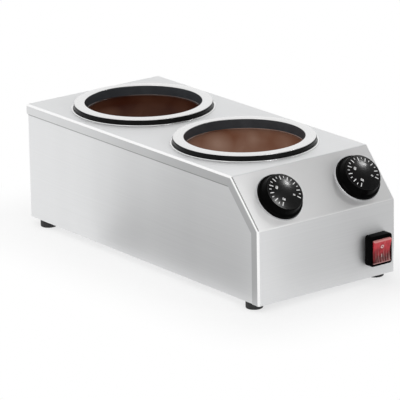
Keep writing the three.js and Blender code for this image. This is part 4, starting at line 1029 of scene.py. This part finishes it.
def gland():
    turn = Matrix.Rotation(-math.pi / 2, 4, "X")
    low, high = node_box("cord_gland", turn)
    nose = high.z
    flange = low.z + GLAND["inside"] + FIT
    hexagon = [
        (GLAND["flange"] * math.cos(math.pi / 3 * k), GLAND["flange"] * math.sin(math.pi / 3 * k))
        for k in range(6)
    ]
    vertices = [(x, y, z) for z in (flange, flange + GLAND_FLANGE) for x, y in hexagon]
    nut = plain(vertices, loft_faces(len(hexagon)))
    radius = GLAND["bore"]
    hole = [(0, low.z - 1), (radius, low.z - 1), (radius, nose + 1), (0, nose + 1)]
    bore = turned(hole, GLAND_SIDES)
    dome, step = GLAND["dome"], GLAND_RIBS["step"]
    groove = dome - GLAND_RIBS["groove"]
    ribs = []
    for i in range(GLAND_RIBS["count"]):
        height = flange + GLAND_FLANGE + GLAND_RIBS["start"] + i * GLAND_RIBS["pitch"]
        rib_radii = (dome, groove, groove, dome)
        ribs += [(rib, height + step * k) for k, rib in enumerate(rib_radii)]
    profile = [
        (0, low.z),
        (GLAND["barrel"], low.z),
        (GLAND["barrel"], flange + 1),
        (dome, flange + 1),
        *ribs,
        (dome, nose - GLAND_TAPER),
        *arc(
            (GLAND["nose"] - GLAND_NOSE_FILLET, nose - GLAND_NOSE_FILLET), GLAND_NOSE_FILLET,
            30, 90, 6,
        ),
        (0, nose),
    ]
    place = turn @ Matrix.Translation(((low.x + high.x) / 2, (low.y + high.y) / 2, 0))
    collar = piece(
        "gland_flange", carved("gland_flange", nut, bore), [FINISHES["gland_plastic"]],
        "housing", (), place,
    )
    rounded_edges(collar)
    body = carved("gland_body", turned(profile, GLAND_SIDES), bore, 40)
    piece(
        "gland_body", body, [FINISHES["gland_plastic"]], "housing",
        ["cord_gland"], place,
    )


def dress_nodes():
    """Each node that still shows takes the finish of its slot; the top cover takes the cover steel,
    with painted shade on its sideways faces.
    """
    slots = {entry["node"]: entry["material_slot"] for entry in frame["record"]["subparts"]}
    for name, node in frame["nodes"].items():
        node.data.materials.clear()
        node.data.materials.append(COVER_STEEL if name == "top_cover" else FINISHES[slots[name]])


# Studio: lengths in metres, lamps by the radiance that their faces show

DARK_PATCH = {"middle": (0.5, -0.45, 0.74), "edge": 0.81, "core": 0.95, "shade": 0.06}
LAMP_DISTANCE = 6
FLOOR_HALF = 6
FLOOR_COLOUR = (0.93, 0.93, 0.93, 1)
FLOOR_FADE = {"From Min": 0, "From Max": 0.13, "To Min": 0.62, "To Max": 1}
FLAG_HEIGHT = 0.001
DIALS_MIDDLE = Vector((0.0055, -0.2025, 0.1215))
DIALS_TO_LAMP = Vector((0.656, -0.234, 0.721)) * LAMP_DISTANCE
LAMPS = {
    "dial_softbox": (DIALS_MIDDLE + DIALS_TO_LAMP, DIALS_MIDDLE, 0.375, 16.5),
    "panel_softbox": ((-0.004, -0.36, 0.262), (-0.1, -0.2, 0.12), 0.07, 5.4),
    "top_softbox": ((-0.8, 0.0, 2.1), (0, 0, 0.15), 0.3, 3.0),
}
FLAGS = {
    "left_flag": ([(-0.12, -0.2), (-0.12, 0.1), (-0.6, 0.62), (-0.6, 0.3)], 0.25),
    "right_flag": ([(-0.03, -0.26), (0.5, -0.26), (0.9, -0.8), (0.3, -0.8)], 0.5),
}


def camera():
    back = Vector((
        math.sin(CAMERA_AZIMUTH) * math.cos(CAMERA_ELEVATION),
        -math.cos(CAMERA_AZIMUTH) * math.cos(CAMERA_ELEVATION),
        math.sin(CAMERA_ELEVATION),
    ))
    level = Vector((math.cos(CAMERA_AZIMUTH), math.sin(CAMERA_AZIMUTH), 0))
    right = level * math.cos(CAMERA_ROLL) + back.cross(level) * math.sin(CAMERA_ROLL)
    data = bpy.data.cameras.new("camera")
    data.sensor_width = SENSOR_WIDTH
    data.lens = SENSOR_WIDTH * FOCAL_PIXELS / IMAGE_SIDE
    data.shift_x = 0.5 - OPTICAL_CENTRE[0] / IMAGE_SIDE
    data.shift_y = OPTICAL_CENTRE[1] / IMAGE_SIDE - 0.5
    data.clip_end = 100
    made = bpy.data.objects.new("camera", data)
    matrix = Matrix((right, back.cross(right), back)).transposed().to_4x4()
    matrix.translation = CAMERA_TARGET + back * CAMERA_DISTANCE
    made.matrix_world = matrix
    bpy.context.scene.collection.objects.link(made)
    bpy.context.scene.camera = made


def softbox(name, place, target, side, radiance):
    """A square lamp whose face shows the given radiance."""
    data = bpy.data.lights.new(name, "AREA")
    data.shape = "SQUARE"
    data.size = side
    data.energy = radiance * math.pi * side ** 2
    made = bpy.data.objects.new(name, data)
    made.location = place
    made.rotation_mode = "QUATERNION"
    made.rotation_quaternion = (Vector(place) - Vector(target)).to_track_quat("Z", "Y")
    made.visible_camera = False
    bpy.context.scene.collection.objects.link(made)


def only_reflected(made, shade):
    """A plain glowing grey that shows in reflections alone, as a photographer's flag does."""
    material = bpy.data.materials.new(made.name)
    material.use_nodes = True
    tree = material.node_tree
    tree.nodes.clear()
    glow = tree.nodes.new("ShaderNodeEmission")
    glow.inputs["Color"].default_value = (shade, shade, shade, 1)
    output = tree.nodes.new("ShaderNodeOutputMaterial")
    tree.links.new(glow.outputs[0], output.inputs["Surface"])
    made.data.materials.append(material)
    made.visible_camera = False
    made.visible_diffuse = False
    made.visible_shadow = False
    made.visible_transmission = False
    bpy.context.scene.collection.objects.link(made)


def card(name, corners):
    """A flat face with the given corners."""
    mesh = bpy.data.meshes.new(name)
    mesh.from_pydata(corners, [], [list(range(len(corners)))])
    return mesh


def floor():
    """A pale floor that catches the shadow near the object and runs out to white."""
    half = FLOOR_HALF
    mesh = card("floor", [(-half, -half, 0), (half, -half, 0), (half, half, 0), (-half, half, 0)])
    made = bpy.data.objects.new("floor", mesh)
    bpy.context.scene.collection.objects.link(made)
    graph = Graph("pale_floor", Roughness=0.9, Specular_IOR_Level=0)
    graph.surface.inputs["Base Color"].default_value = FLOOR_COLOUR
    rays = graph.node("ShaderNodeLightPath").outputs
    seen = graph.calc(rays["Is Camera Ray"], rays["Is Glossy Ray"], "MAXIMUM")
    seen = graph.calc(seen, rays["Is Transmission Ray"], "MAXIMUM")
    split = graph.parts(graph.place())
    low, high = cad_box
    outside = []
    for axis, name in enumerate("XY"):
        centred = graph.calc(split[name], (low[axis] + high[axis]) / 2, "SUBTRACT")
        from_middle = graph.calc(centred, 0, "ABSOLUTE")
        beyond = graph.calc(from_middle, (high[axis] - low[axis]) / 2, "SUBTRACT")
        outside.append(graph.calc(beyond, 0, "MAXIMUM"))
    gap = graph.node("ShaderNodeCombineXYZ", {"X": outside[0], "Y": outside[1]}).outputs[0]
    limits = {"Value": graph.length(gap), **FLOOR_FADE}
    far = graph.node("ShaderNodeMapRange", limits, interpolation_type="SMOOTHSTEP")
    share = graph.calc(seen, far.outputs["Result"], "MULTIPLY")
    glow = graph.node("ShaderNodeEmission", {"Strength": 1.0}).outputs[0]
    shown = {0: share, 1: graph.surface.outputs[0], 2: glow}
    mix = graph.node("ShaderNodeMixShader", shown)
    output = next(node for node in graph.tree.nodes if node.type == "OUTPUT_MATERIAL")
    graph.tree.links.new(mix.outputs[0], output.inputs["Surface"])
    mesh.materials.append(graph.material)


def world():
    """White all round but for a soft dark patch that the dials face, high up on the right."""
    made = bpy.data.worlds.new("studio")
    made.use_nodes = True
    tree = made.node_tree
    background = tree.nodes["Background"]
    background.inputs["Color"].default_value = (1, 1, 1, 1)
    direction = tree.nodes.new("ShaderNodeTexCoord").outputs["Generated"]
    closeness = tree.nodes.new("ShaderNodeVectorMath")
    closeness.operation = "DOT_PRODUCT"
    tree.links.new(direction, closeness.inputs[0])
    closeness.inputs[1].default_value = Vector(DARK_PATCH["middle"]).normalized()
    shade = tree.nodes.new("ShaderNodeMapRange")
    shade.interpolation_type = "SMOOTHSTEP"
    shade.inputs["From Min"].default_value = DARK_PATCH["edge"]
    shade.inputs["From Max"].default_value = DARK_PATCH["core"]
    shade.inputs["To Min"].default_value = 1.0
    shade.inputs["To Max"].default_value = DARK_PATCH["shade"]
    tree.links.new(closeness.outputs["Value"], shade.inputs["Value"])
    rays = tree.nodes.new("ShaderNodeLightPath")
    strongest = tree.nodes.new("ShaderNodeMath")
    strongest.operation = "MAXIMUM"
    tree.links.new(shade.outputs["Result"], strongest.inputs[0])
    tree.links.new(rays.outputs["Is Camera Ray"], strongest.inputs[1])
    tree.links.new(strongest.outputs[0], background.inputs["Strength"])
    bpy.context.scene.world = made


def flag(name, corners, shade):
    """A dark card laid on the floor that only reflections see."""
    mesh = card(name, [(x, y, FLAG_HEIGHT) for x, y in corners])
    only_reflected(bpy.data.objects.new(name, mesh), shade)


def studio():
    floor()
    world()
    for name, lamp in LAMPS.items():
        softbox(name, *lamp)
    for name, made in FLAGS.items():
        flag(name, *made)


bpy.context.scene.view_settings.view_transform = "Standard"
camera()
studio()
dress_nodes()
for end, slot in (("front", "milk_chocolate"), ("rear", "dark_chocolate")):
    pot(end)
    chocolate(end, slot)
    seal(end)
for side in ("left", "right"):
    bezel(side)
    knob(side)
switch()
for corner in ("front_left", "front_right", "rear_left", "rear_right"):
    foot(corner)
screws()
gland()
